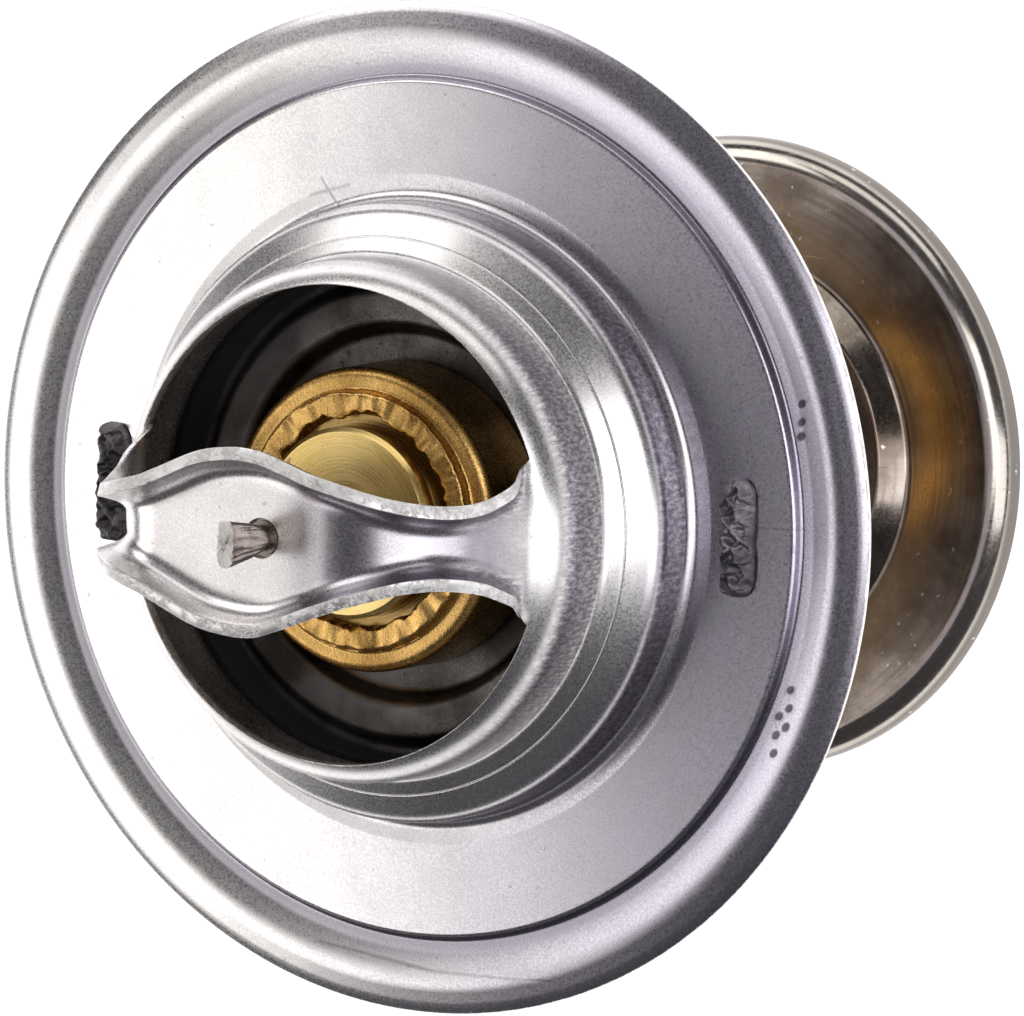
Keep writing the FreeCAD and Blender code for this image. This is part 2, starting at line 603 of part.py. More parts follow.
def make_piston_guide():
    """Turned brass guide: flange under the crimp, neck, and the disc that shows in the mouth."""
    body = turned("piston_guide", [
        ("levels.piston_bore", "levels.backup_top"),
        ("levels.head_bore", "levels.backup_top"),
        ("levels.head_bore", "levels.crimp_under"),
        ("sizes.guide_neck_radius", "levels.crimp_under"),
        ("sizes.guide_neck_radius", "sizes.guide_top - sizes.guide_disc"),
        ("sizes.guide_radius", "sizes.guide_top - sizes.guide_disc"),
        ("sizes.guide_radius", "sizes.guide_top - sizes.guide_chamfer"),
        ("sizes.guide_radius - sizes.guide_chamfer", "sizes.guide_top"),
        ("levels.piston_bore", "sizes.guide_top"),
    ])
    return body


def make_backup_washer():
    """Thin washer that keeps the rubber out of the guide's bore."""
    return turned("backup_washer", [
        ("levels.piston_bore", "levels.boot_flange_top"),
        ("levels.head_bore", "levels.boot_flange_top"),
        ("levels.head_bore", "levels.backup_top"),
        ("levels.piston_bore", "levels.backup_top"),
    ])


def make_rubber_sleeve():
    """Rubber sleeve with a closed end that the wax squeezes, and the flange clamped by the guide."""
    return turned("rubber_sleeve", [
        ("0", "levels.boot_bottom"),
        ("sizes.boot_radius", "levels.boot_bottom"),
        ("sizes.boot_radius", "levels.head_floor"),
        ("levels.head_bore", "levels.head_floor"),
        ("levels.head_bore", "levels.boot_flange_top"),
        ("levels.piston_bore", "levels.boot_flange_top"),
        ("levels.piston_bore", "levels.boot_bore_end"),
        ("0", "levels.boot_bore_end"),
    ])


def make_wax_charge():
    """Wax that fills the cup round the sleeve."""
    body = turned("wax_charge", [
        ("0", "sizes.cup_wall - sizes.cup_depth"),
        ("levels.cup_bore", "sizes.cup_wall - sizes.cup_depth"),
        ("levels.cup_bore", "levels.head_floor"),
        ("sizes.boot_radius", "levels.head_floor"),
        ("sizes.boot_radius", "levels.boot_bottom"),
        ("0", "levels.boot_bottom"),
    ])
    rounded(body, "wax_end", "sizes.cup_end_rounding - sizes.cup_wall",
            ring_edges(body.Shape, [("levels.cup_bore", "sizes.cup_wall - sizes.cup_depth")]))
    return body


# Main valve: a pressed plate held against the cup's head by the main spring, with a rubber seal
def make_valve_plate():
    """Flat middle, raised bead that centres the plate, and the outer rim that carries the seal."""
    hub = "sizes.cup_radius + sizes.running_gap"
    gauge, slope = "sizes.valve_sheet", "sizes.bead_flank"
    flank = "0.8 * sizes.valve_sheet"
    return turned("main_valve_plate", [
        (hub, "levels.valve_under"),
        ("sizes.valve_flat_radius + " + flank, "levels.valve_under"),
        ("sizes.valve_flat_radius + %s + %s" % (flank, slope), "levels.bead_top - " + gauge),
        ("levels.bead_outer - %s - %s" % (flank, slope), "levels.bead_top - " + gauge),
        ("levels.bead_outer - " + flank, "levels.valve_rim_top - " + gauge),
        ("sizes.valve_radius", "levels.valve_rim_top - " + gauge),
        ("sizes.valve_radius", "levels.valve_rim_top"),
        ("levels.bead_outer", "levels.valve_rim_top"),
        ("levels.bead_outer - " + slope, "levels.bead_top"),
        ("sizes.valve_flat_radius + " + slope, "levels.bead_top"),
        ("sizes.valve_flat_radius", "sizes.head_bottom"),
        (hub, "sizes.head_bottom"),
    ])


def seat_height(radius):
    """Expression for the height of the neck's conical seat at a radius."""
    return ("sizes.lower_neck_height + (sizes.lower_neck_radius - (%s)) * tan(levels.neck_slope)"
            " - levels.seat_drop" % radius)


def make_valve_seal():
    """Rubber ring moulded round the plate's rim, coned to the seat in the neck's shoulder."""
    edge = "sizes.valve_radius + sizes.seal_lip"
    under = "levels.valve_rim_top - sizes.valve_sheet"
    return turned("main_valve_seal", [
        ("sizes.valve_radius", under),
        (edge, under),
        (edge, seat_height(edge) + " - sizes.seat_gap"),
        ("sizes.seal_inner_radius", seat_height("sizes.seal_inner_radius") + " - sizes.seat_gap"),
        ("sizes.seal_inner_radius - 0.2 * sizes.seal_lip", "levels.valve_rim_top"),
        ("sizes.valve_radius", "levels.valve_rim_top"),
    ])


# Bypass valve: a pressed disc that slides on a stem below the cup, with its own spring
def make_bypass_stem():
    """Steel stud brazed to the cup's end, with a groove for the retaining ring."""
    body = turned("bypass_stem", [
        ("0", "levels.stem_bottom"),
        ("sizes.stem_radius", "levels.stem_bottom"),
        ("sizes.stem_radius", "levels.ring_under"),
        ("levels.groove_radius", "levels.ring_under"),
        ("levels.groove_radius", "levels.recess_under"),
        ("sizes.stem_radius", "levels.recess_under"),
        ("sizes.stem_radius", "levels.stem_flange_under"),
        ("sizes.stem_flange_radius", "levels.stem_flange_under"),
        ("sizes.stem_flange_radius", "0 - sizes.cup_depth"),
        ("0", "0 - sizes.cup_depth"),
    ])
    rounded(body, "stem_end", "0.5 * sizes.ring_groove",
            ring_edges(body.Shape, [("sizes.stem_radius", "levels.stem_bottom")]))
    return body


def make_seat_washer():
    """Steel washer that seats the bypass spring under the stem's flange."""
    return turned("spring_seat_washer", [
        ("sizes.stem_radius + sizes.running_gap", "levels.washer_under"),
        ("sizes.washer_radius", "levels.washer_under"),
        ("sizes.washer_radius", "levels.stem_flange_under"),
        ("sizes.stem_radius + sizes.running_gap", "levels.stem_flange_under"),
    ])


def make_bypass_disc():
    """Pressed disc: skirt turned away from the flange, flat face, raised hub and spring recess."""
    hole = "sizes.stem_radius + sizes.running_gap"
    gauge = "sizes.bypass_sheet"
    body = turned("bypass_disc", [
        (hole, "levels.recess_under"),
        ("sizes.recess_radius + " + gauge, "levels.recess_under"),
        ("sizes.recess_radius + " + gauge, "levels.hub_top - " + gauge),
        ("sizes.hub_top_radius - 0.8 * " + gauge, "levels.hub_top - " + gauge),
        ("sizes.hub_foot_radius - 0.8 * " + gauge, "levels.bypass_top - " + gauge),
        ("sizes.bypass_radius - " + gauge, "levels.bypass_top - " + gauge),
        ("sizes.bypass_radius - " + gauge, "levels.bypass_bottom"),
        ("sizes.bypass_radius", "levels.bypass_bottom"),
        ("sizes.bypass_radius", "levels.bypass_top"),
        ("sizes.hub_foot_radius", "levels.bypass_top"),
        ("sizes.hub_top_radius", "levels.hub_top"),
        ("sizes.recess_radius", "levels.hub_top"),
        ("sizes.recess_radius", "levels.recess_top"),
        (hole, "levels.recess_top"),
    ])
    rounded(body, "disc_edge", "sizes.bypass_rounding",
            ring_edges(body.Shape, [("sizes.bypass_radius", "levels.bypass_top")]))
    rounded(body, "disc_edge_inside", "sizes.bypass_rounding - " + gauge,
            ring_edges(body.Shape, [("sizes.bypass_radius - " + gauge, "levels.bypass_top - " + gauge)]))
    rounded(body, "hub_edges", "0.5 * " + gauge,
            ring_edges(body.Shape, [("sizes.hub_foot_radius", "levels.bypass_top"),
                                    ("sizes.hub_top_radius", "levels.hub_top"),
                                    ("sizes.recess_radius", "levels.hub_top")]))
    return body


def make_retaining_ring():
    """Open spring-steel ring in the stem's groove, below the disc."""
    body = turned("retaining_ring", [
        ("levels.groove_radius", "levels.ring_under"),
        ("sizes.ring_radius", "levels.ring_under"),
        ("sizes.ring_radius", "levels.recess_under"),
        ("levels.groove_radius", "levels.recess_under"),
    ])
    turn = body.Tip
    turn.Midplane = True
    turn.setExpression("Angle", "360 - sizes.ring_mouth")
    doc.recompute()
    return body


# Springs: round wire wound on a cone or a cylinder, ends ground flat on their seats
def coil_line(low, high, low_radius, high_radius, turns, wire):
    """Centre line of a spring whose first and last turns close up and lie flat on their seats."""
    closed_turns = 0.75
    points_per_turn = 14
    steps = int(round(turns * points_per_turn))
    floor = low + wire / 2 + size("coil_rest")
    rise = high - wire / 2 - size("coil_rest") - floor
    points = []
    for step in range(steps + 1):
        wound = turns * step / steps
        share = min(1.0, max(0.0, (wound - closed_turns) / (turns - 2 * closed_turns)))
        eased = share - 0.5 * math.sin(2 * math.pi * share) / (2 * math.pi)
        radius = low_radius + (high_radius - low_radius) * wound / turns
        angle = 2 * math.pi * wound
        points.append(FreeCAD.Vector(radius * math.cos(angle), radius * math.sin(angle), floor + rise * eased))
    line = Part.BSplineCurve()
    line.interpolate(points)
    return Part.Wire([line.toShape()])


def make_spring(name, low, high, low_radius, high_radius, turns, wire):
    """Wire swept along its centre line between two seats."""
    line = coil_line(low, high, low_radius, high_radius, turns, wire)
    start = line.Edges[0].valueAt(line.Edges[0].FirstParameter)
    heading = line.Edges[0].tangentAt(line.Edges[0].FirstParameter)
    section = Part.Wire([Part.makeCircle(wire / 2, start, heading)])
    sweep = Part.BRepOffsetAPI.MakePipeShell(line)
    sweep.setBiNormalMode(FreeCAD.Vector(0, 0, 1))
    sweep.add(section)
    sweep.build()
    sweep.makeSolid()
    spring = doc.addObject("Part::Feature", name)
    spring.Shape = sweep.shape()
    return spring


def make_main_spring():
    """Conical spring between the frame's floor and the valve plate."""
    return make_spring("main_spring", -size("frame_depth"), level("valve_under"), size("main_coil_bottom"),
                       size("main_coil_top"), size("main_turns"), size("main_wire"))


def make_bypass_spring():
    """Spring between the seat washer and the recess of the bypass disc."""
    return make_spring("bypass_spring", level("recess_top"), level("washer_under"), size("bypass_coil"),
                       size("bypass_coil"), size("bypass_turns"), size("bypass_wire"))


NODES = [
    make_flange_bridge(), make_lower_frame(), make_piston(), make_main_spring(),
    make_capsule_cup(), make_piston_guide(), make_backup_washer(), make_rubber_sleeve(), make_wax_charge(),
    make_valve_plate(), make_valve_seal(),
    make_bypass_stem(), make_seat_washer(), make_bypass_spring(), make_bypass_disc(), make_retaining_ring(),
]
doc.recompute()

failed = [item.Name for item in doc.Objects if "Invalid" in item.State or "Error" in item.State]
if failed:
    raise RuntimeError("objects not computed: " + ", ".join(failed))
for node in NODES:
    if node.Shape.isNull() or not node.Shape.isValid():
        raise RuntimeError("shape not valid: " + node.Label)

os.makedirs("parts", exist_ok=True)
for node in NODES:
    node.Shape.exportStep(os.path.join("parts", node.Label + ".step"))
    print("%-20s solids %d  volume %9.2f" % (node.Label, len(node.Shape.Solids), node.Shape.Volume))
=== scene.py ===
import math

import bmesh
import bpy
from mathutils import Matrix, Vector, noise as wander


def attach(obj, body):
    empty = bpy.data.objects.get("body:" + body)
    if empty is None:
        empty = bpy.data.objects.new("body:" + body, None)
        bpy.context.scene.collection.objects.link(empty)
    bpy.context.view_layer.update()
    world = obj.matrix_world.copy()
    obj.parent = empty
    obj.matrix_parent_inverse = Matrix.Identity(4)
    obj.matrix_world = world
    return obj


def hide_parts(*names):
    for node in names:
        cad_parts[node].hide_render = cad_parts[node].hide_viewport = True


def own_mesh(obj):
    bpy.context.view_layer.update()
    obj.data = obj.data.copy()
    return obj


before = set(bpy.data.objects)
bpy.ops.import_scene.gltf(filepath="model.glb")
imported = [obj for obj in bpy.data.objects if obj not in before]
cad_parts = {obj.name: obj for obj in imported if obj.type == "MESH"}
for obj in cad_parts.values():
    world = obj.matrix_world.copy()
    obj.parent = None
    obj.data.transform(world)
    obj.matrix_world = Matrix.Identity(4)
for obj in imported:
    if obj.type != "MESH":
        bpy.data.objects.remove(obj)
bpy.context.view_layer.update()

# Engine thermostat of the insert kind, cold and closed. Sizes are in millimetres and turned into metres
# as the vertices are made. +Z runs out through the bridge and X along it.
mm = 0.001

# Flange, neck and bridge: one stainless sheet, blanked, drawn up in two steps to the neck, with the strap
# across the mouth left standing as a trough. The mouth's and the strap's cut edges are torn and bright.
sheet_thickness = 0.9
burr = 0.08
mouth_radius = 15.85
flange_corners = [
    (33.6, 0.36, 0.0), (32.9, 0.62, 1.6), (31.4, 1.0, 3.0), (29.5, 0.66, 1.6), (28.62, 0.62, 0.3),
    (28.36, 1.2, 0.34), (22.2, 1.58, 0.12), (20.5, 1.5, 1.5), (20.5, 5.0, 1.4), (18.56, 6.27, 0.12),
    (18.5, 6.24, 0.1), (18.44, 6.35, 0.12), (17.3, 7.1, 0.75), (17.3, 11.64, 3.3),
    (mouth_radius + burr, 12.6, 0.0),
]
# Behind, the clamping band is coined flat out to the seat's edge, and the rim drops to the rear past it
seat_edge, rim_run, rim_drop = 31.4, 1.4, 0.44
pin_hole_radius = 1.35
slot_place, slot_shift, slot_half_width, slot_half_length = 24.2, 0.22, 1.3, 3.95


def rounded_outline(corners, arc_step=8.0, run_in=0.12):
    """Outline of (radius, height) through the corners, each one rounded by its own radius."""
    line = [Vector(corners[0][:2])]
    for before, corner, after in zip(corners, corners[1:], corners[2:]):
        back = Vector((before[0] - corner[0], before[1] - corner[1]))
        on = Vector((after[0] - corner[0], after[1] - corner[1]))
        turn = math.pi - back.angle(on)
        # A rounding takes less than half of a straight that it shares with the next one
        reach = corner[2] * math.tan(turn / 2)
        reach = min(reach, 0.49 * back.length, (0.98 if after is corners[-1] else 0.49) * on.length)
        spot = Vector(corner[:2])
        if reach < 1e-4:
            line.append(spot)
            continue
        radius = reach / math.tan(turn / 2)
        start, end = spot + back.normalized() * reach, spot + on.normalized() * reach
        centre = spot + (back.normalized() + on.normalized()).normalized() * math.hypot(radius, reach)
        if (start - line[-1]).length > 3 * run_in:
            line.append(start + back.normalized() * run_in)
        pieces = max(2, round(math.degrees(turn) / arc_step))
        first, sweep = start - centre, (start - centre).angle_signed(end - centre)
        for index in range(pieces + 1):
            angle = -sweep * index / pieces
            line.append(centre + Vector((first.x * math.cos(angle) - first.y * math.sin(angle),
                                         first.x * math.sin(angle) + first.y * math.cos(angle))))
        if (Vector(after[:2]) - end).length > 3 * run_in:
            line.append(end + on.normalized() * run_in)
    line.append(Vector(corners[-1][:2]))
    return line


def behind(line, thickness):
    """The sheet's other face: an outline that runs inwards, moved down or in by the sheet's thickness."""
    moved = []
    for index, spot in enumerate(line):
        before = line[max(index - 1, 0)]
        after = line[min(index + 1, len(line) - 1)]
        along = (after - before).normalized()
        moved.append(spot + Vector((-along.y, along.x)) * thickness)
    kept = [moved[0]]
    for index in range(1, len(moved)):
        if (moved[index] - kept[-1]).dot(line[index] - line[index - 1]) > 0:
            kept.append(moved[index])
    return kept


# The strap's line from its middle to the mouth's edge: level floor, bend, leaning leg, bend into the dome.
# The bend is tight at the left and wide at the right.
strap_lean, strap_root, dome_lean = math.radians(59.0), 2.0, math.radians(35.0)
strap_height, neck_height = 21.75, 12.6
strap_bends = {-1: 3.2, 1: 10.0}


def strap_parts(side):
    """Flat length, bend radius, leg length and whole length of the strap's line on one side."""
    bend = strap_bends[side]
    fall = strap_height - bend * (1 - math.cos(strap_lean)) - neck_height
    leg = (fall - strap_root * (math.cos(dome_lean) - math.cos(strap_lean))) / math.sin(strap_lean)
    reach = bend * math.sin(strap_lean) + leg * math.cos(strap_lean)
    flat = mouth_radius + burr - reach - strap_root * (math.sin(strap_lean) - math.sin(dome_lean))
    return flat, bend, leg, flat + bend * strap_lean + leg + strap_root * (strap_lean - dome_lean)


strap_left, strap_right = strap_parts(-1)[3], strap_parts(1)[3]

# Along the strap from its left root to its right one: half width between the cut edges, how far the
# middle lies to one side, height and slope of the lips
strap_stations = [
    (-strap_left, 5.51, 0.0, 0.0, 0.0), (-19.3, 4.6, 0.0, 0.3, 24.0), (-18.0, 3.5, 0.0, 0.8, 44.0),
    (-16.4, 2.55, 0.0, 1.35, 60.0), (-14.4, 1.95, 0.0, 1.85, 70.0), (-12.6, 1.75, 0.0, 2.1, 75.0),
    (-11.4, 1.85, -0.02, 2.2, 76.0), (-9.6, 2.5, -0.1, 2.15, 76.0), (-7.0, 3.65, -0.15, 2.1, 76.0),
    (-3.9, 4.95, -0.14, 2.05, 76.0), (-1.2, 5.4, -0.15, 2.05, 76.0), (0.6, 5.33, -0.17, 2.05, 76.0),
    (2.2, 4.88, -0.13, 2.05, 76.0), (4.4, 4.1, -0.08, 2.05, 76.0), (6.6, 3.3, 0.06, 2.05, 76.0),
    (8.5, 2.67, 0.1, 2.0, 76.0), (10.2, 2.22, 0.14, 1.95, 76.0), (12.0, 1.97, 0.12, 1.9, 75.0),
    (13.6, 2.02, 0.05, 1.8, 73.0), (15.2, 2.33, 0.0, 1.6, 67.0), (16.6, 2.85, -0.03, 1.3, 58.0),
    (18.0, 3.55, -0.02, 0.85, 45.0), (19.0, 4.5, 0.0, 0.32, 24.0), (strap_right, 5.51, 0.0, 0.0, 0.0),
]
lip_bend = 1.35


def eased(stations, place, column):
    """Value of a column at a place between the stations, with smooth joins."""
    places = [station[0] for station in stations]
    index = max(0, min(len(places) - 2, sum(1 for item in places if item <= place) - 1))

    def lean(spot):
        low, high = max(spot - 1, 0), min(spot + 1, len(places) - 1)
        return (stations[high][column] - stations[low][column]) / (places[high] - places[low])

    run = places[index + 1] - places[index]
    share = (place - places[index]) / run
    start, end = stations[index][column], stations[index + 1][column]
    first, last = lean(index) * run, lean(index + 1) * run
    return (start * (1 + 2 * share) * (1 - share) ** 2 + first * share * (1 - share) ** 2
            + end * share ** 2 * (3 - 2 * share) - last * share ** 2 * (1 - share))


def strap_line(place):
    """Place along X, height and slope of the strap's floor at a run from its middle."""
    side = 1 if place >= 0 else -1
    flat, bend, leg, whole = strap_parts(side)
    run = abs(place)
    bend_x, bend_z = flat + bend * math.sin(strap_lean), strap_height - bend * (1 - math.cos(strap_lean))
    if run < flat:
        return run, strap_height, 0.0
    if run < flat + bend * strap_lean:
        slope = (run - flat) / bend
        return flat + bend * math.sin(slope), strap_height - bend * (1 - math.cos(slope)), slope
    if run < flat + bend * strap_lean + leg:
        over = run - flat - bend * strap_lean
        return bend_x + over * math.cos(strap_lean), bend_z - over * math.sin(strap_lean), strap_lean
    slope = dome_lean + (whole - run) / strap_root
    return (mouth_radius + burr - strap_root * (math.sin(slope) - math.sin(dome_lean)),
            neck_height + strap_root * (math.cos(dome_lean) - math.cos(slope)), slope)


def trough(place, share, depth=0.0, inwards=0.0):
    """Point of the strap: share runs from -1 to 1 over the section, depth goes into the sheet."""
    x, z, slope = strap_line(place)
    half = eased(strap_stations, place, 1)
    lip = max(eased(strap_stations, place, 3), 0.0)
    steep = math.radians(max(eased(strap_stations, place, 4), 0.01))
    bend = min(lip_bend, 0.9 * lip / max(1 - math.cos(steep), 1e-6), half / math.sin(steep))
    straight = max(lip - bend * (1 - math.cos(steep)), 0.0) / math.sin(steep)
    floor = half - bend * math.sin(steep) - straight * math.cos(steep)
    length = floor + bend * steep + straight
    run = abs(share) * (length - burr) + (burr - inwards if abs(share) > 0.9999 else 0.0)
    if run < floor:
        across, rise, tilt = run, 0.0, 0.0
    elif run < floor + bend * steep:
        tilt = (run - floor) / bend
        across, rise = floor + bend * math.sin(tilt), bend * (1 - math.cos(tilt))
    else:
        tilt = steep
        over = run - floor - bend * steep
        across = floor + bend * math.sin(steep) + over * math.cos(steep)
        rise = bend * (1 - math.cos(steep)) + over * math.sin(steep)
    across += depth * math.sin(tilt)
    rise -= depth * math.cos(tilt)
    side = math.copysign(1.0, place)
    return Vector((side * (x + rise * math.sin(slope)),
                   math.copysign(across, share) + eased(strap_stations, place, 2),
                   z + rise * math.cos(slope)))


def ring_of(grid, spot, steps):
    """Ring of vertices round Z at an outline's (radius, height)."""
    angles = [math.tau * step / steps for step in range(steps)]
    return [grid.verts.new((spot[0] * math.cos(angle) * mm, spot[0] * math.sin(angle) * mm, spot[1] * mm))
            for angle in angles]


def walled(grid, lower, upper, finish=0):
    """Faces all round between two loops of vertices."""
    for index in range(len(lower)):
        after = (index + 1) % len(lower)
        face = grid.faces.new((lower[index], lower[after], upper[after], upper[index]))
        face.material_index = finish


def flange_mesh(steps=320, root_steps=18, rows_per_half=60):
    """Closed mesh of the pressing and the strap in one."""
    front = rounded_outline(flange_corners)
    back = []
    for spot in behind(front, sheet_thickness):
        lowest = -rim_drop * max(0.0, min(1.0, (spot.x - seat_edge) / rim_run))
        back.append(Vector((max(spot.x, mouth_radius + burr), max(spot.y, lowest))))
    soft = burr * (1 - math.sqrt(0.5))
    under = neck_height - sheet_thickness
    cut = [Vector((mouth_radius + soft, neck_height - soft)), Vector((mouth_radius, neck_height - burr)),
           Vector((mouth_radius, under + burr)), Vector((mouth_radius + soft, under + soft))]
    rim_front, rim_back = front[0], back[0]
    outwards = (rim_front - front[1]).normalized()
    downwards = (rim_back - rim_front).normalized()
    rim = [rim_back + outwards * (burr - soft) - downwards * soft,
           rim_back + outwards * burr - downwards * burr,
           rim_front + outwards * burr + downwards * burr,
           rim_front + outwards * (burr - soft) + downwards * soft]
    front[0], back[0] = rim_front - outwards * burr, rim_back - outwards * burr
    rim = [spot - outwards * burr for spot in rim]
    loop = front + cut + back[::-1] + rim
    last_front, first_back = len(front) - 1, len(front) + len(cut)
    grid = bmesh.new()
    rings = [ring_of(grid, spot, steps) for spot in loop]
    for number in range(len(loop)):
        ring, following = rings[number], rings[(number + 1) % len(loop)]
        for step in range(steps):
            # The mouth's cut edge stays open where the strap starts
            near = min(step, steps - step - 1, abs(step + 0.5 - steps // 2) - 0.5)
            if last_front <= number < first_back and near < root_steps:
                continue
            after = (step + 1) % steps
            face = grid.faces.new((ring[step], ring[after], following[after], following[step]))
            if last_front <= number < first_back or number >= first_back + len(back) - 1:
                face.material_index = 1

    # Strap rows run from the mouth's right edge to its left edge
    columns = range(-root_steps, root_steps + 1)
    cut_layers = [(soft, soft), (burr, 0.0), (sheet_thickness - burr, 0.0), (sheet_thickness - soft, soft)]
    root_blend = 2.6

    def root_verts(side):
        turned_by = 0 if side > 0 else steps // 2
        picks = [(turned_by + side * column) % steps for column in columns]
        upper = [rings[last_front][pick] for pick in picks]
        lower = [rings[first_back][pick] for pick in picks]
        edges = [[rings[last_front + 1 + index][picks[0]] for index in range(4)],
                 [rings[last_front + 1 + index][picks[-1]] for index in range(4)]]
        return upper, lower, edges

    def strap_row(place):
        side = 1 if place >= 0 else -1
        half = strap_right if side > 0 else strap_left
        fade = max(0.0, 1 - (half - abs(place)) / root_blend)
        fade = fade * fade * (3 - 2 * fade)
        upper, lower, edges = root_verts(side)

        def joined(share, depth, inwards, old):
            spot, at_root = trough(place, share, depth, inwards), trough(side * half, share, depth, inwards)
            return grid.verts.new(spot * mm + (old.co - at_root * mm) * fade)

        skins = [[joined(column / root_steps, depth, burr, old) for column, old in zip(columns, chosen)]
                 for chosen, depth in ((upper, 0.0), (lower, sheet_thickness))]
        cuts = [[joined(share, depth, inwards, old) for (depth, inwards), old in zip(cut_layers, edge)]
                for share, edge in ((-1.0, edges[0]), (1.0, edges[1]))]
        return skins[0], skins[1], cuts

    rows = [root_verts(1)]
    for index in range(1, 2 * rows_per_half):
        share = 1 - index / rows_per_half
        rows.append(strap_row(share * (strap_right if share >= 0 else strap_left)))
    rows.append(root_verts(-1))
    for here, there in zip(rows, rows[1:]):
        for skin in (0, 1):
            for index in range(2 * root_steps):
                grid.faces.new((here[skin][index], here[skin][index + 1],
                                there[skin][index + 1], there[skin][index]))
        for end, pick in ((0, 0), (1, -1)):
            chain = [here[0][pick]] + here[2][end] + [here[1][pick]]
            chain_on = [there[0][pick]] + there[2][end] + [there[1][pick]]
            for index in range(len(chain) - 1):
                face = grid.faces.new((chain[index], chain[index + 1], chain_on[index + 1], chain_on[index]))
                face.material_index = 1
    bmesh.ops.recalc_face_normals(grid, faces=grid.faces)
    return grid


def as_object(name, grid, *finishes, sharp=40.0):
    """Blender object of a bmesh with its finishes, smooth except over its sharp edges."""
    mesh = bpy.data.meshes.new(name)
    for finish in finishes:
        mesh.materials.append(finish)
    grid.to_mesh(mesh)
    grid.free()
    piece = bpy.data.objects.new(name, mesh)
    bpy.context.scene.collection.objects.link(piece)
    mesh.shade_smooth()
    mesh.set_sharp_from_angle(angle=math.radians(sharp))
    return piece


def cutter(name, shapes):
    """Object made of prisms: each one a list of outline points and its lower and upper height."""
    grid = bmesh.new()
    for outline, low, high in shapes:
        lower = [grid.verts.new((x * mm, y * mm, low * mm)) for x, y in outline]
        upper = [grid.verts.new((x * mm, y * mm, high * mm)) for x, y in outline]
        grid.faces.new(lower[::-1])
        grid.faces.new(upper)
        walled(grid, lower, upper)
    bmesh.ops.recalc_face_normals(grid, faces=grid.faces)
    return as_object(name, grid)


def punched(piece, tool):
    """The piece with the tool's shapes cut out of it, as a plain mesh."""
    cut = piece.modifiers.new("cut", "BOOLEAN")
    cut.operation = "DIFFERENCE"
    cut.solver = "MANIFOLD"
    cut.object = tool
    shown = piece.evaluated_get(bpy.context.evaluated_depsgraph_get())
    mesh = bpy.data.meshes.new_from_object(shown)
    piece.modifiers.remove(cut)
    old, piece.data = piece.data, mesh
    mesh.name = piece.name
    bpy.data.meshes.remove(old)
    spare = tool.data
    bpy.data.objects.remove(tool)
    bpy.data.meshes.remove(spare)
    mesh.set_sharp_from_angle(angle=math.radians(40))


def calc(tree, operation, *terms):
    """Result of a math node on numbers and sockets."""
    node = tree.nodes.new("ShaderNodeMath")
    node.operation = operation
    for index, term in enumerate(terms):
        if isinstance(term, (int, float)):
            node.inputs[index].default_value = term
        else:
            tree.links.new(term, node.inputs[index])
    return node.outputs[0]


def times(tree, first, second):
    """Product of two terms, each one a number or a socket."""
    return calc(tree, "MULTIPLY", first, second)


def step_in(tree, value, low, high, bottom=0.0, top=1.0):
    """Soft step of a socket from bottom to top between low and high."""
    node = tree.nodes.new("ShaderNodeMapRange")
    node.interpolation_type = "SMOOTHSTEP"
    for label, term in (("From Min", low), ("From Max", high), ("To Min", bottom), ("To Max", top)):
        node.inputs[label].default_value = term
    tree.links.new(value, node.inputs["Value"])
    return node.outputs["Result"]


def mixed(tree, share, first, second):
    """Colour between two colours, each one a socket or three numbers."""
    node = tree.nodes.new("ShaderNodeMix")
    node.data_type = "RGBA"
    for socket, term in ((node.inputs[0], share), (node.inputs[6], first), (node.inputs[7], second)):
        if isinstance(term, tuple):
            socket.default_value = (*term, 1.0)
        elif isinstance(term, float):
            socket.default_value = term
        else:
            tree.links.new(term, socket)
    return node.outputs[2]


def noise(tree, where, scale, detail=4.0, rough=0.55):
    """Noise value round a half."""
    node = tree.nodes.new("ShaderNodeTexNoise")
    for label, term in (("Scale", scale), ("Detail", detail), ("Roughness", rough)):
        node.inputs[label].default_value = term
    tree.links.new(where, node.inputs["Vector"])
    return node.outputs["Fac"]


def vector_of(tree, x, y, z):
    """Vector of three sockets or numbers."""
    node = tree.nodes.new("ShaderNodeCombineXYZ")
    for index, term in enumerate((x, y, z)):
        if isinstance(term, (int, float)):
            node.inputs[index].default_value = term
        else:
            tree.links.new(term, node.inputs[index])
    return node.outputs[0]


def effect(name, given, made):
    """Empty shader group with the named inputs and outputs, given as name and socket kind."""
    tree = bpy.data.node_groups.new(name, "ShaderNodeTree")
    for label, kind in given:
        tree.interface.new_socket(label, in_out="INPUT", socket_type="NodeSocket" + kind)
    for label in made:
        tree.interface.new_socket(label, in_out="OUTPUT", socket_type="NodeSocketFloat")
    return tree, tree.nodes.new("NodeGroupInput").outputs, tree.nodes.new("NodeGroupOutput").inputs


def round_place():
    """Radius and height in millimetres and turn in radians of a place on a turned piece, and its steepness."""
    tree, given, made = effect("place on a round piece", [("Place", "Vector"), ("Facing", "Vector")],
                               ["Radius", "Height", "Turn", "Upright", "Across"])
    axes = tree.nodes.new("ShaderNodeSeparateXYZ")
    tree.links.new(given["Place"], axes.inputs[0])
    x, y, z = (times(tree, axes.outputs[index], 1000.0) for index in range(3))
    radius = calc(tree, "SQRT", calc(tree, "ADD", times(tree, x, x), times(tree, y, y)))
    facing = tree.nodes.new("ShaderNodeSeparateXYZ")
    tree.links.new(given["Facing"], facing.inputs[0])
    upright = step_in(tree, calc(tree, "ABSOLUTE", facing.outputs[2]), 0.15, 0.75, 1.0, 0.0)
    for label, socket in (("Radius", radius), ("Height", z), ("Turn", calc(tree, "ARCTAN2", y, x)),
                          ("Upright", upright), ("Across", x)):
        tree.links.new(socket, made[label])
    return tree


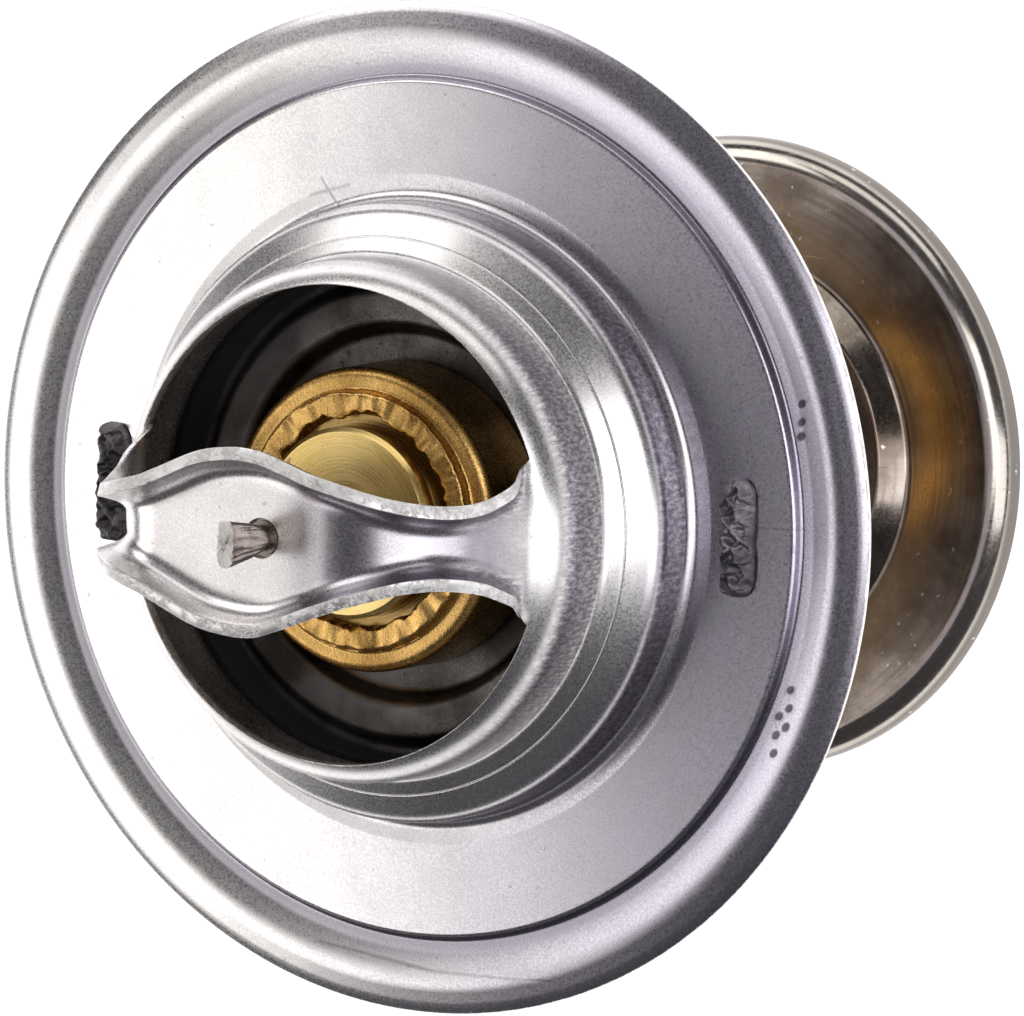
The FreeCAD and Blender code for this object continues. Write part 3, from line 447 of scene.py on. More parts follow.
def sheet_grain():
    """Grain of rolled and pressed sheet: fine pits, soft blotches, short scratches and dark specks."""
    tree, given, made = effect("grain of pressed metal", [("Place", "Vector")],
                               ["Fine", "Blotch", "Scratch", "Speck"])
    where = given["Place"]
    fine = noise(tree, where, 6200.0, 4.0, 0.65)
    blotch = noise(tree, where, 160.0, 5.0, 0.6)
    lines = tree.nodes.new("ShaderNodeMapping")
    lines.inputs["Rotation"].default_value = (0.2, 0.1, 0.65)
    lines.inputs["Scale"].default_value = (1.0, 22.0, 1.0)
    tree.links.new(where, lines.inputs["Vector"])
    scratch = step_in(tree, noise(tree, lines.outputs["Vector"], 190.0, 3.0, 0.7), 0.7, 0.78, 0.0, 0.5)
    speck = step_in(tree, noise(tree, where, 1500.0, 2.0, 0.5), 0.7, 0.76)
    for label, socket in (("Fine", fine), ("Blotch", blotch), ("Scratch", scratch), ("Speck", speck)):
        tree.links.new(socket, made[label])
    return tree


def drawn_scores():
    """Scores that a die leaves down a drawn wall, from the turn and height on a round piece."""
    tree, given, made = effect("scores of a drawn wall", [("Turn", "Float"), ("Height", "Float")], ["Score"])
    where = vector_of(tree, times(tree, given["Turn"], 42.0), times(tree, given["Height"], 0.9), 0)
    tree.links.new(noise(tree, where, 1.6, 6.0, 0.75), made["Score"])
    return tree


def pointed(tree, operation, first, second):
    """Result of a vector math node on two terms, each one a socket or three numbers."""
    node = tree.nodes.new("ShaderNodeVectorMath")
    node.operation = operation
    for socket, term in ((node.inputs[0], first), (node.inputs["Scale" if operation == "SCALE" else 1], second)):
        if isinstance(term, tuple):
            socket.default_value = term
        else:
            tree.links.new(term, socket)
    return node.outputs["Value" if operation in ("DISTANCE", "DOT_PRODUCT") else "Vector"]


def worn_in(tree, place, gap, width):
    """Mask of a mark: one on its line and zero from its width on, with a wavy edge; gap in millimetres."""
    gap = calc(tree, "ADD", gap, times(tree, noise(tree, place, 420.0, 2.0), 0.1))
    return calc(tree, "SUBTRACT", 1.0, calc(tree, "MINIMUM", calc(tree, "DIVIDE", gap, width), 1.0))


def hair_scratch():
    """Thin scratch from a start to an end on the XY plane, in millimetres, a little wavy."""
    tree, given, made = effect("single scratch", [("Place", "Vector"), ("Start", "Vector"), ("End", "Vector"),
                                                  ("Width", "Float")], ["Scratch"])
    flat = pointed(tree, "MULTIPLY", given["Place"], (1000.0, 1000.0, 0.0))
    along = pointed(tree, "SUBTRACT", given["End"], given["Start"])
    off = pointed(tree, "SUBTRACT", flat, given["Start"])
    run = calc(tree, "DIVIDE", pointed(tree, "DOT_PRODUCT", off, along), pointed(tree, "DOT_PRODUCT", along, along))
    run = calc(tree, "MINIMUM", calc(tree, "MAXIMUM", run, 0.0), 1.0)
    nearest = pointed(tree, "ADD", given["Start"], pointed(tree, "SCALE", along, run))
    gap = pointed(tree, "DISTANCE", flat, nearest)
    tree.links.new(worn_in(tree, given["Place"], gap, given["Width"]), made["Scratch"])
    return tree


def grouped(tree, group, given):
    """Node of a shader group with its named inputs linked or set; returns its outputs."""
    node = tree.nodes.new("ShaderNodeGroup")
    node.node_tree = group
    for label, term in given.items():
        if isinstance(term, (int, float, tuple)):
            node.inputs[label].default_value = term
        else:
            tree.links.new(term, node.inputs[label])
    return node.outputs


place_group, grain_group = round_place(), sheet_grain()
score_group, scratch_group = drawn_scores(), hair_scratch()


def metal(name):
    """New metal: its tree, shader inputs, object coordinates, place on a round piece and grain."""
    material = bpy.data.materials.new(name)
    material.use_nodes = True
    tree = material.node_tree
    shader = tree.nodes["Principled BSDF"].inputs
    shader["Metallic"].default_value = 1.0
    where = tree.nodes.new("ShaderNodeTexCoord").outputs
    spot = grouped(tree, place_group, {"Place": where["Object"], "Facing": where["Normal"]})
    grain = grouped(tree, grain_group, {"Place": where["Object"]})
    return material, tree, shader, where, spot, grain


def relief(tree, shader, height, depth, strength=1.0):
    """Bump of a height socket, its full depth in metres, on the shader."""
    bump = tree.nodes.new("ShaderNodeBump")
    bump.inputs["Strength"].default_value = strength
    bump.inputs["Distance"].default_value = depth
    tree.links.new(height, bump.inputs["Height"])
    tree.links.new(bump.outputs["Normal"], shader["Normal"])


# Marks on the flange, in millimetres on the XY plane: scratches as start, end and width, punch dents as the
# middles of small ovals
flange_scratches = [
    ((-9.1, 20.2, 0), (-6.1, 21.1, 0), 0.22), ((-8.3, 21.4, 0), (-6.6, 19.2, 0), 0.22),
    ((-7.9, -29.4, 0), (1.0, -30.7, 0), 0.25), ((1.0, -30.7, 0), (9.9, -30.7, 0), 0.22),
    ((25.4, 0.8, 0), (28.9, 0.8, 0), 0.16),
]
punch_dents = [
    (27.95, -9.89), (27.9, -11.09), (27.1, -11.69), (27.7, -12.34), (26.9, -12.94), (26.8, -14.14),
    (28.5, 9.06), (28.5, 7.86), (28.45, 6.91),
]
dent_turn, dent_stretch, dent_width = 0.6435, 1.36, 0.5


def dented(tree, place):
    """Mask of the punch dents: the place is turned to their long way and squeezed along it."""
    oval = tree.nodes.new("ShaderNodeMapping")
    oval.vector_type = "TEXTURE"
    oval.inputs["Rotation"].default_value = (0, 0, dent_turn)
    oval.inputs["Scale"].default_value = (dent_stretch * mm, mm, 1000.0)
    tree.links.new(place, oval.inputs["Vector"])
    gap = 10.0
    for dent in punch_dents:
        middle = Matrix.Rotation(-dent_turn, 2) @ Vector(dent)
        away = pointed(tree, "DISTANCE", oval.outputs["Vector"], (middle.x / dent_stretch, middle.y, 0.0))
        gap = calc(tree, "MINIMUM", gap, away)
    return worn_in(tree, place, gap, dent_width)


def satin_sheet():
    """Finish of the pressing's faces, with painted light: pale and warm at the left, painted violet shade at the
    right, and walls scored and painted dark as shade.
    """
    material, tree, shader, where, spot, grain = metal("satin pressed sheet")
    # Painted light: the flange is painted pale and warm at the left, where light falls, and darker violet at the
    # right, where it lies in shade.
    side = times(tree, step_in(tree, spot["Across"], -22.0, 24.0), step_in(tree, spot["Radius"], 18.5, 22.5))
    tone = mixed(tree, side, (0.86, 0.84, 0.83), (0.56, 0.53, 0.62))
    tone = mixed(tree, step_in(tree, grain["Blotch"], 0.36, 0.7, 0.0, 0.34), tone, (0.5, 0.47, 0.51))
    tone = mixed(tree, step_in(tree, grain["Fine"], 0.55, 0.78, 0.0, 0.1), tone, (0.3, 0.28, 0.31))
    # Painted shade: the strap's right leg is painted darker violet, which dims its bright reflection.
    bridge = times(tree, step_in(tree, spot["Height"], 13.2, 16.0), step_in(tree, spot["Across"], 0.6, 3.6))
    tone = mixed(tree, times(tree, bridge, 0.62), tone, (0.36, 0.33, 0.4))
    scored = grouped(tree, score_group, {"Turn": spot["Turn"], "Height": spot["Height"]})["Score"]
    # The walls carry real die scores, and are also painted darker as shade on every steep face, more so towards the
    # right.
    drawn = times(tree, spot["Upright"], step_in(tree, scored, 0.34, 0.6, 0.3, 0.95))
    drawn = times(tree, drawn, step_in(tree, spot["Across"], -2.0, 16.0, 0.1, 1.0))
    tone = mixed(tree, drawn, tone, (0.17, 0.15, 0.18))
    # Painted shade in the groove at the foot of the step up to the flat band.
    valley_painted_shade = times(tree, step_in(tree, spot["Radius"], 28.3, 28.6),
                   step_in(tree, spot["Radius"], 28.9, 30.6, 1.0, 0.0))
    tone = mixed(tree, times(tree, valley_painted_shade, 0.72), tone, (0.27, 0.25, 0.32))
    marks = grain["Scratch"]
    for start, end, width in flange_scratches:
        line = grouped(tree, scratch_group, {"Place": where["Object"], "Start": start, "End": end, "Width": width})
        marks = calc(tree, "MAXIMUM", marks, line["Scratch"])
    tone = mixed(tree, times(tree, marks, 0.55), tone, (0.2, 0.18, 0.2))
    dents = dented(tree, where["Object"])
    marks = calc(tree, "MAXIMUM", marks, times(tree, dents, 2.6))
    # Painted shade: the punch dents are painted near black for the shade inside them.
    tone = mixed(tree, step_in(tree, dents, 0.2, 0.5, 0.0, 0.9), tone, (0.06, 0.055, 0.065))
    tone = mixed(tree, times(tree, grain["Speck"], 0.4), tone, (0.2, 0.18, 0.2))
    tree.links.new(tone, shader["Base Color"])
    gloss = calc(tree, "ADD", step_in(tree, grain["Fine"], 0.3, 0.7, 0.22, 0.34), times(tree, drawn, 0.1))
    tree.links.new(gloss, shader["Roughness"])
    height = calc(tree, "SUBTRACT", times(tree, grain["Fine"], 0.1), times(tree, marks, 0.3))
    walls = times(tree, scored, spot["Upright"])
    height = calc(tree, "SUBTRACT", height, times(tree, walls, 0.8))
    relief(tree, shader, height, 0.00003, 0.7)
    return material


def torn_edge():
    """Finish of the sheet's sheared edge: bright, cracked across."""
    material, tree, shader, where, _, _ = metal("torn sheet edge")
    cracks = step_in(tree, noise(tree, where["Object"], 900.0, 5.0, 0.8), 0.45, 0.62)
    tree.links.new(mixed(tree, cracks, (0.96, 0.95, 0.94), (0.74, 0.71, 0.71)), shader["Base Color"])
    shader["Roughness"].default_value = 0.42
    relief(tree, shader, cracks, 0.00005)
    return material


def squared(value, power):
    """Sine or cosine raised to a power with its sign kept, which squares an oval's ends."""
    return math.copysign(abs(value) ** power, value)


flange = as_object("flange_pressing", flange_mesh(), satin_sheet(), torn_edge())
hole = [(pin_hole_radius * math.cos(math.tau * step / 40), pin_hole_radius * math.sin(math.tau * step / 40))
        for step in range(40)]
slots = []
for side in (-1, 1):
    turns = [math.tau * (step + 0.5) / 48 for step in range(48)]
    slots.append([(side * slot_place + slot_shift + slot_half_width * squared(math.cos(turn), 0.8),
                   slot_half_length * squared(math.sin(turn), 0.45)) for turn in turns])
punched(flange, cutter("punches", [(hole, 18.0, 26.0)] + [(slot, -2.0, 4.0) for slot in slots]))
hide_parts("flange_bridge")
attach(flange, "housing_side")


# Piston: a ground steel pin that ends on the bridge. Its neck passes the hole and the end above it is
# pinched flat and ridged, so that the bridge can't slide off.
def turned(name, outline, steps=192, sharp=40.0):
    """Closed solid turned about Z from an outline of (radius, height); ends on the axis become poles."""
    grid = bmesh.new()
    rings = []
    for spot in outline:
        if spot[0] < 1e-6:
            rings.append([grid.verts.new((0, 0, spot[1] * mm))])
            continue
        rings.append(ring_of(grid, spot, steps))
    ends_in_poles = len(rings[0]) == 1 and len(rings[-1]) == 1
    for index in range(len(rings) - 1 if ends_in_poles else len(rings)):
        ring, following = rings[index], rings[(index + 1) % len(rings)]
        for step in range(steps):
            after = (step + 1) % steps
            corners = [ring[step % len(ring)], ring[after % len(ring)],
                       following[after % len(following)], following[step % len(following)]]
            unique = list(dict.fromkeys(corners))
            if len(unique) > 2:
                grid.faces.new(unique)
    bmesh.ops.recalc_face_normals(grid, faces=grid.faces)
    return as_object(name, grid, sharp=sharp)


def plain_metal(name, light, dark, smooth, rough, depth=0.00003):
    """Metal between two tones, blotched, grainy and scratched, with a range of roughness."""
    material, tree, shader, where, spot, grain = metal(name)
    tone = mixed(tree, step_in(tree, grain["Blotch"], 0.34, 0.68), light, dark)
    worn = calc(tree, "MAXIMUM", times(tree, grain["Scratch"], 0.6), times(tree, grain["Speck"], 0.7))
    tone = mixed(tree, worn, tone, tuple(channel * 0.45 for channel in dark))
    tree.links.new(tone, shader["Base Color"])
    tree.links.new(step_in(tree, grain["Fine"], 0.3, 0.7, smooth, rough), shader["Roughness"])
    relief(tree, shader, calc(tree, "SUBTRACT", grain["Fine"], grain["Scratch"]), depth, 0.8)
    return material


def dress(piece, finish, body, slot, *nodes):
    """Finish, body and the CAD nodes that a piece stands for; the record slot is not used."""
    piece.data.materials.clear()
    piece.data.materials.append(finish)
    if nodes:
        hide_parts(*nodes)
    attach(piece, body)


def pinched_tip(rings=22, around=96, caps=5):
    """Round neck that widens like a fan to a flat ridged tip with a broken end face."""
    grid = bmesh.new()
    rows = []
    low, start, high = 20.5, 22.1, 26.2
    for level in range(rings + caps + 1):
        share = min(level / rings, 1.0)
        inset = 1 - max(level - rings, 0) / (caps + 0.35)
        z = low + (high - low) * share
        fan = max(0.0, min(1.0, (z - start) / (high - start)))
        flat = min(1.0, fan * 2.4)
        wide = 0.86 + 0.7 * fan ** 0.8
        thick = 0.86 - 0.26 * min(1.0, fan * 1.6)
        power = 1 - 0.42 * flat
        row = []
        for step in range(around):
            angle = math.tau * step / around
            across, through = math.sin(angle), math.cos(angle)
            y = wide * squared(across, power)
            x = thick * squared(through, power)
            ridge = math.sin(24.0 * y / wide) * 0.03 + wander.noise(Vector((x * 2, y * 6.0, z * 0.6))) * 0.12
            x *= 1 + flat * ridge / thick * abs(through) ** 0.5
            broken = 0.16 * wander.noise(Vector((x * 2.2, y * 2.2, 3.0))) * flat if share == 1.0 else 0.0
            crown = 0.05 if inset < 1 else 0.0
            row.append(grid.verts.new((x * inset * mm, y * inset * mm, (z + broken + crown) * mm)))
        rows.append(row)
    for level, (lower, upper) in enumerate(zip(rows, rows[1:])):
        walled(grid, lower, upper, 1 if level >= rings else 0)
    grid.faces.new(rows[0][::-1])
    grid.faces.new(rows[-1]).material_index = 1
    bmesh.ops.recalc_face_normals(grid, faces=grid.faces)
    return as_object("pinched_tip", grid, pin_finish, broken_face, sharp=50)


pin_finish = plain_metal("ground pin", (0.52, 0.46, 0.41), (0.22, 0.19, 0.17), 0.22, 0.42)
broken_face = plain_metal("broken pin face", (0.98, 0.96, 0.93), (0.6, 0.56, 0.52), 0.3, 0.5, 0.0001)
pin_corners = [(0.0, -14.5, 0), (2.0, -14.5, 0.4), (2.0, 20.2, 0.3), (1.15, 20.75, 0.1), (1.15, 21.6, 0.0),
               (0.0, 21.6, 0)]
pin = turned("piston_pin", rounded_outline(pin_corners), steps=64)
dress(pin, pin_finish, "housing_side", "pin_steel", "piston")
pinched = pinched_tip()
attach(pinched, "housing_side")

# Wax cup: the element's brass body, drawn from strip in one piece. Its wide head takes the guide, and the
# lip is crimped over it by a punch that leaves it rough and uneven.
brass = plain_metal("drawn brass", (0.8, 0.5, 0.17), (0.42, 0.24, 0.07), 0.2, 0.36)
cup_outside = [(0.0, -24.0, 0), (7.8, -24.0, 1.9), (7.8, 3.0, 0.3), (10.1, 3.0, 0.6), (10.1, 9.3, 1.7),
               (8.7, 9.3, 0.25), (8.5, 10.0, 0.25), (7.1, 10.05, 0.2), (7.0, 9.1, 0.1)]
cup_inside = [(7.0, 9.1, 0), (9.2, 8.4, 0.7), (9.2, 3.9, 0.3), (6.9, 3.9, 0.3), (6.9, -23.1, 1.0), (0.0, -23.1, 0)]
cup = turned("wax_cup", rounded_outline(cup_outside) + rounded_outline(cup_inside)[1:], steps=360)
crimp_height, crimp_inside, crimp_outside = 9.2, 6.7, 8.7
for vert in cup.data.vertices:
    radius = vert.co.xy.length / mm
    if vert.co.z / mm > crimp_height and crimp_inside < radius < crimp_outside:
        jag = wander.fractal(Vector((vert.co.x, vert.co.y, 0.0)) * 900, 1.0, 2.0, 4)
        share = (8.9 - radius) / 1.9
        vert.co.x *= 1 - 0.05 * jag * share
        vert.co.y *= 1 - 0.05 * jag * share
        vert.co.z += 0.14 * mm * wander.fractal(Vector((vert.co.x, vert.co.y, 0.004)) * 700, 1.0, 2.0, 3)
dress(cup, brass, "element", "element_brass", "capsule_cup")

# Guide: the brass disc that the piston slides in, turned from bar with a narrower neck and a flange below.
# The flange is clamped in the cup's head.
guide_brass, tree, shader, where, spot, grain = metal("turned brass")
rings = noise(tree, vector_of(tree, times(tree, spot["Radius"], 9.0), spot["Height"], 0), 1.0, 3.0)
tone = mixed(tree, step_in(tree, grain["Blotch"], 0.3, 0.7), (1.0, 0.76, 0.32), (0.85, 0.6, 0.2))
# Painted shade: the brass turns dark brown from the disc's rim down into the groove under it.
tone = mixed(tree, step_in(tree, spot["Height"], 9.6, 11.0, 0.75, 0.0), tone, (0.2, 0.11, 0.04))
tone = mixed(tree, times(tree, grain["Speck"], 0.6), tone, (0.3, 0.18, 0.06))
tree.links.new(tone, shader["Base Color"])
tree.links.new(step_in(tree, rings, 0.3, 0.7, 0.24, 0.32), shader["Roughness"])
relief(tree, shader, calc(tree, "ADD", rings, grain["Fine"]), 0.000008, 0.6)
guide_corners = [(2.06, 11.5, 0), (6.05, 11.5, 0.03), (6.35, 11.2, 0.03), (6.35, 10.3, 0.1), (5.5, 10.3, 0.15),
                 (5.5, 8.9, 0.1), (9.15, 8.9, 0.1), (9.15, 5.65, 0.1), (2.06, 5.65, 0)]
guide = turned("guide_disc", rounded_outline(guide_corners), steps=224, sharp=30)
dress(guide, guide_brass, "element", "guide_brass", "piston_guide")

# Backup washer, rubber sleeve and wax: a thin brass ring, a moulded rubber sleeve round the piston and the
# filled wax. They are shut up in the cup by its crimped lip, and show only when it is opened.
hidden = {"backup_washer": guide_brass}
for node, name, tone, rough in (("rubber_sleeve", "black rubber", (0.02, 0.02, 0.02), 0.55),
                                ("wax_charge", "filled wax", (0.5, 0.3, 0.16), 0.5)):
    hidden[node], tree, shader, where, spot, grain = metal(name)
    shader["Metallic"].default_value = 0.0
    shader["Roughness"].default_value = rough
    shade = tuple(channel * 0.6 for channel in tone)
    tree.links.new(mixed(tree, grain["Blotch"], shade, tone), shader["Base Color"])
    relief(tree, shader, grain["Fine"], 0.00004)
for node, finish in hidden.items():
    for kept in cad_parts[node].material_slots:
        kept.material = finish

# Valve plate and seal: steel sheet pressed with a raised ring and brazed on the cup, painted near black for the
# shade down in the neck. A moulded rubber ring on its rim closes the seat in the neck's shoulder.
plate_painted_dark = plain_metal("pressed plate painted dark for shade", (0.2, 0.19, 0.185), (0.06, 0.055, 0.05), 0.3, 0.5)
plate_face = [(7.86, 3.0, 0), (12.0, 3.0, 0.6), (12.5, 4.7, 0.7), (14.9, 4.7, 0.7), (15.4, 3.7, 0.5),
              (18.3, 3.7, 0)]
plate_thickness = 0.9
plate_front = rounded_outline(plate_face)
plate_back = [spot - Vector((0, plate_thickness)) for spot in plate_front]
plate = turned("valve_plate", plate_front + plate_back[::-1], steps=256)
dress(plate, plate_painted_dark, "element", "valve_steel", "main_valve_plate")
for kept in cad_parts["main_valve_seal"].material_slots:
    kept.material = hidden["rubber_sleeve"]

# Main spring: hard drawn steel wire, wound on a cone and flattened at both ends. It is held by its own
# push between the frame's floor and the valve plate.
spring_finish = plain_metal("drawn spring wire", (0.42, 0.4, 0.42), (0.22, 0.21, 0.22), 0.26, 0.42)


def coil_tree(stations=480, sides=20, end_turn=0.8):
    """Geometry Nodes: wire wound along the axis, with a flat turn at each end."""
    tree = bpy.data.node_groups.new("wound wire", "GeometryNodeTree")
    tree.interface.new_socket("Geometry", in_out="OUTPUT", socket_type="NodeSocketGeometry")
    for label in ("Low", "High", "Low radius", "High radius", "Turns", "Wire"):
        tree.interface.new_socket(label, in_out="INPUT", socket_type="NodeSocketFloat")
    tree.interface.new_socket("Finish", in_out="INPUT", socket_type="NodeSocketMaterial")
    nodes, links = tree.nodes, tree.links
    given, out = nodes.new("NodeGroupInput").outputs, nodes.new("NodeGroupOutput").inputs

    line = nodes.new("GeometryNodeMeshLine")
    line.inputs["Count"].default_value = stations + 1
    line.inputs["Offset"].default_value = (0, 0, 0)
    share = calc(tree, "DIVIDE", nodes.new("GeometryNodeInputIndex").outputs[0], float(stations))
    turn = times(tree, times(tree, share, given["Turns"]), math.tau)
    flat = calc(tree, "DIVIDE", end_turn, given["Turns"])

    def climbed(kind, part):
        rise = nodes.new("ShaderNodeMapRange")
        rise.interpolation_type = kind
        links.new(share, rise.inputs["Value"])
        links.new(flat, rise.inputs["From Min"])
        links.new(calc(tree, "SUBTRACT", 1.0, flat), rise.inputs["From Max"])
        return times(tree, rise.outputs["Result"], part)

    # The wire leaves its flat turns softly: a share of the climb is eased and the rest is even
    climb = calc(tree, "ADD", climbed("SMOOTHSTEP", 0.35), climbed("LINEAR", 0.65))
    half_wire = times(tree, given["Wire"], 0.5)
    low = calc(tree, "ADD", given["Low"], half_wire)
    high = calc(tree, "SUBTRACT", given["High"], half_wire)
    height = calc(tree, "ADD", low, times(tree, calc(tree, "SUBTRACT", high, low), climb))
    cone = calc(tree, "SUBTRACT", given["High radius"], given["Low radius"])
    wide = calc(tree, "ADD", given["Low radius"], times(tree, cone, share))
    across, through = (times(tree, wide, calc(tree, wave, turn)) for wave in ("COSINE", "SINE"))
    spot = vector_of(tree, across, through, height)
    path = nodes.new("GeometryNodeMeshToCurve")
    move = nodes.new("GeometryNodeSetPosition")
    ring = nodes.new("GeometryNodeCurvePrimitiveCircle")
    ring.inputs["Resolution"].default_value = sides
    tube = nodes.new("GeometryNodeCurveToMesh")
    tube.inputs["Fill Caps"].default_value = True
    smooth = nodes.new("GeometryNodeSetShadeSmooth")
    real = nodes.new("GeometryNodeRealizeInstances")
    painted = nodes.new("GeometryNodeSetMaterial")
    for socket, target in (
            (line.outputs["Mesh"], path.inputs["Mesh"]), (path.outputs["Curve"], move.inputs["Geometry"]),
            (spot, move.inputs["Position"]), (half_wire, ring.inputs["Radius"]),
            (move.outputs["Geometry"], tube.inputs["Curve"]), (ring.outputs["Curve"], tube.inputs["Profile Curve"]),
            (tube.outputs["Mesh"], smooth.inputs["Geometry"]),
            (smooth.outputs["Geometry"], real.inputs["Geometry"]),
            (real.outputs["Geometry"], painted.inputs["Geometry"]), (given["Finish"], painted.inputs["Material"]),
            (painted.outputs["Geometry"], out["Geometry"])):
        links.new(socket, target)
    return tree


wound_wire = coil_tree()


def grown(name, tree, values):
    """Plain mesh object that a Geometry Nodes tree makes from the named values."""
    seed = bpy.data.objects.new(name, bpy.data.meshes.new(name))
    bpy.context.scene.collection.objects.link(seed)
    modifier = seed.modifiers.new("making", "NODES")
    modifier.node_group = tree
    for item in tree.interface.items_tree:
        if item.item_type == "SOCKET" and item.in_out == "INPUT" and item.name in values:
            modifier[item.identifier] = values[item.name]
    made = bpy.data.meshes.new_from_object(seed.evaluated_get(bpy.context.evaluated_depsgraph_get()))
    seed.modifiers.remove(modifier)
    old, seed.data = seed.data, made
    made.name = name
    bpy.data.meshes.remove(old)
    return seed


main_spring = grown("main_coil", wound_wire, {
    "Low": -19.57 * mm, "High": 2.07 * mm, "Low radius": 11.8 * mm, "High radius": 10.9 * mm,
    "Turns": 5.0, "Wire": 2.2 * mm, "Finish": spring_finish})
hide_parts("main_spring")
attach(main_spring, "housing_side")
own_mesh(main_spring)


# Lower frame: a stirrup pressed from thicker steel sheet, which carries the main spring. Its two tabs come
# up through the flange's slots, and their ends are staked over with a hatched punch.
def from_cad(name, node, sharp=30.0):
    """Merged copy of a CAD node's mesh, smooth over its fine facets."""
    grid = bmesh.new()
    grid.from_mesh(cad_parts[node].data)
    bmesh.ops.remove_doubles(grid, verts=grid.verts, dist=1e-6)
    bmesh.ops.dissolve_limit(grid, angle_limit=math.radians(0.5), verts=grid.verts, edges=grid.edges)
    return as_object(name, grid, sharp=sharp)


frame_finish = plain_metal("stirrup sheet", (0.56, 0.54, 0.56), (0.32, 0.3, 0.32), 0.3, 0.48)
stirrup = from_cad("stirrup", "lower_frame")
for vert in stirrup.data.vertices:
    # The square ends of the tabs give way to the staked lumps
    if vert.co.z > 1.3 * mm:
        middle = math.copysign(slot_place * mm, vert.co.x)
        vert.co.x = middle + 0.6 * (vert.co.x - middle)
        vert.co.y *= 0.8
        vert.co.z = min(vert.co.z, 1.5 * mm)
dress(stirrup, frame_finish, "housing_side", "frame_steel", "lower_frame")


def staked_tab(side, turn, long_way=96, short_way=40):
    """Head of a staked tab: an oval lump, hatched by the staking punch, over the CAD tab's end."""
    grid = bmesh.new()
    rows = []
    for row_index in range(short_way + 1):
        row = []
        u = 2 * row_index / short_way - 1
        for column in range(long_way + 1):
            v = 2 * column / long_way - 1
            # Squares of the grid are pulled into an oval
            pull = math.sqrt(1 - 0.86 * max(0.0, (abs(v) - 0.66) / 0.34) ** 2.4)
            uneven = 1 + 0.07 * wander.noise(Vector((u * 1.5, v * 7.0, turn)))
            x, y = u * 1.32 * pull * uneven, v * 4.05 * math.sqrt(1 - 0.05 * u * u)
            near = max(abs(u) ** 4, abs(v) ** 18)
            hatch = max(abs(math.sin(2.3 * x + 1.9 * y + turn + wander.noise(Vector((x, y, turn))))),
                        abs(math.sin(2.2 * x - 2.4 * y + 1.5 * wander.noise(Vector((x, y, turn + 5)))))) ** 5
            lump = 2.05 + 0.5 * hatch + 0.24 * wander.fractal(Vector((x * 2, y * 2, turn)), 1.0, 2.0, 3)
            z = lump * (1 - near) + 1.2 * near
            row.append(grid.verts.new(((side * slot_place + x) * mm, y * mm, z * mm)))
        rows.append(row)
    for lower, upper in zip(rows, rows[1:]):
        for column in range(long_way):
            grid.faces.new((lower[column], lower[column + 1], upper[column + 1], upper[column]))
    outer = [row[0] for row in rows] + rows[-1][1:] + [row[-1] for row in rows[::-1]][1:] + rows[0][::-1][1:-1]
    foot = [grid.verts.new((vert.co.x, vert.co.y, 0.9 * mm)) for vert in outer]
    walled(grid, outer, foot)
    grid.faces.new(foot[::-1])
    bmesh.ops.recalc_face_normals(grid, faces=grid.faces)
    return as_object("staked_tab_right" if side > 0 else "staked_tab_left", grid, sharp=60)


staked_finish = plain_metal("staked tab end", (0.34, 0.32, 0.35), (0.05, 0.047, 0.05), 0.28, 0.5, 0.0001)
for tab in (staked_tab(1, 0.4), staked_tab(-1, 2.1)):
    dress(tab, staked_finish, "housing_side", "frame_steel")

# Bypass stem and washer: a turned steel stud brazed on the cup's end. The spring's stamped seat washer lies
# against the stud's flange.
stem = from_cad("bypass_stud", "bypass_stem")
dress(stem, frame_finish, "element", "frame_steel", "bypass_stem")
washer = from_cad("spring_washer", "spring_seat_washer")
dress(washer, frame_finish, "element", "frame_steel", "spring_seat_washer")

# Bypass spring: lighter drawn wire, wound straight, with a flat turn at each end. It is held between the
# seat washer and the disc's hub.
bypass_spring = grown("bypass_coil", wound_wire, {
    "Low": -36.72 * mm, "High": -25.83 * mm, "Low radius": 6.1 * mm, "High radius": 6.1 * mm,
    "Turns": 4.5, "Wire": 1.3 * mm, "Finish": spring_finish})
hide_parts("bypass_spring")
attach(bypass_spring, "element")
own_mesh(bypass_spring)

# Bypass disc: bright steel sheet, pressed with a stepped hub and spun with a skirt towards the rear. It
# slides on the stem and shuts the bypass port.
disc_finish, tree, shader, where, spot, grain = metal("bright pressed disc")
spun = noise(tree, vector_of(tree, times(tree, spot["Radius"], 2.2), spot["Turn"], 0), 1.0, 4.0)
tone = mixed(tree, step_in(tree, grain["Blotch"], 0.34, 0.66), (0.46, 0.4, 0.35), (0.17, 0.135, 0.11))
tone = mixed(tree, step_in(tree, spun, 0.4, 0.66, 0.0, 0.5), tone, (0.2, 0.15, 0.11))
glow = times(tree, step_in(tree, spot["Radius"], 13.4, 14.6), step_in(tree, spot["Radius"], 15.0, 18.2, 1.0, 0.0))
glow = times(tree, glow, step_in(tree, grain["Blotch"], 0.3, 0.65, 0.6, 0.35))
tone = mixed(tree, glow, tone, (0.6, 0.42, 0.2))
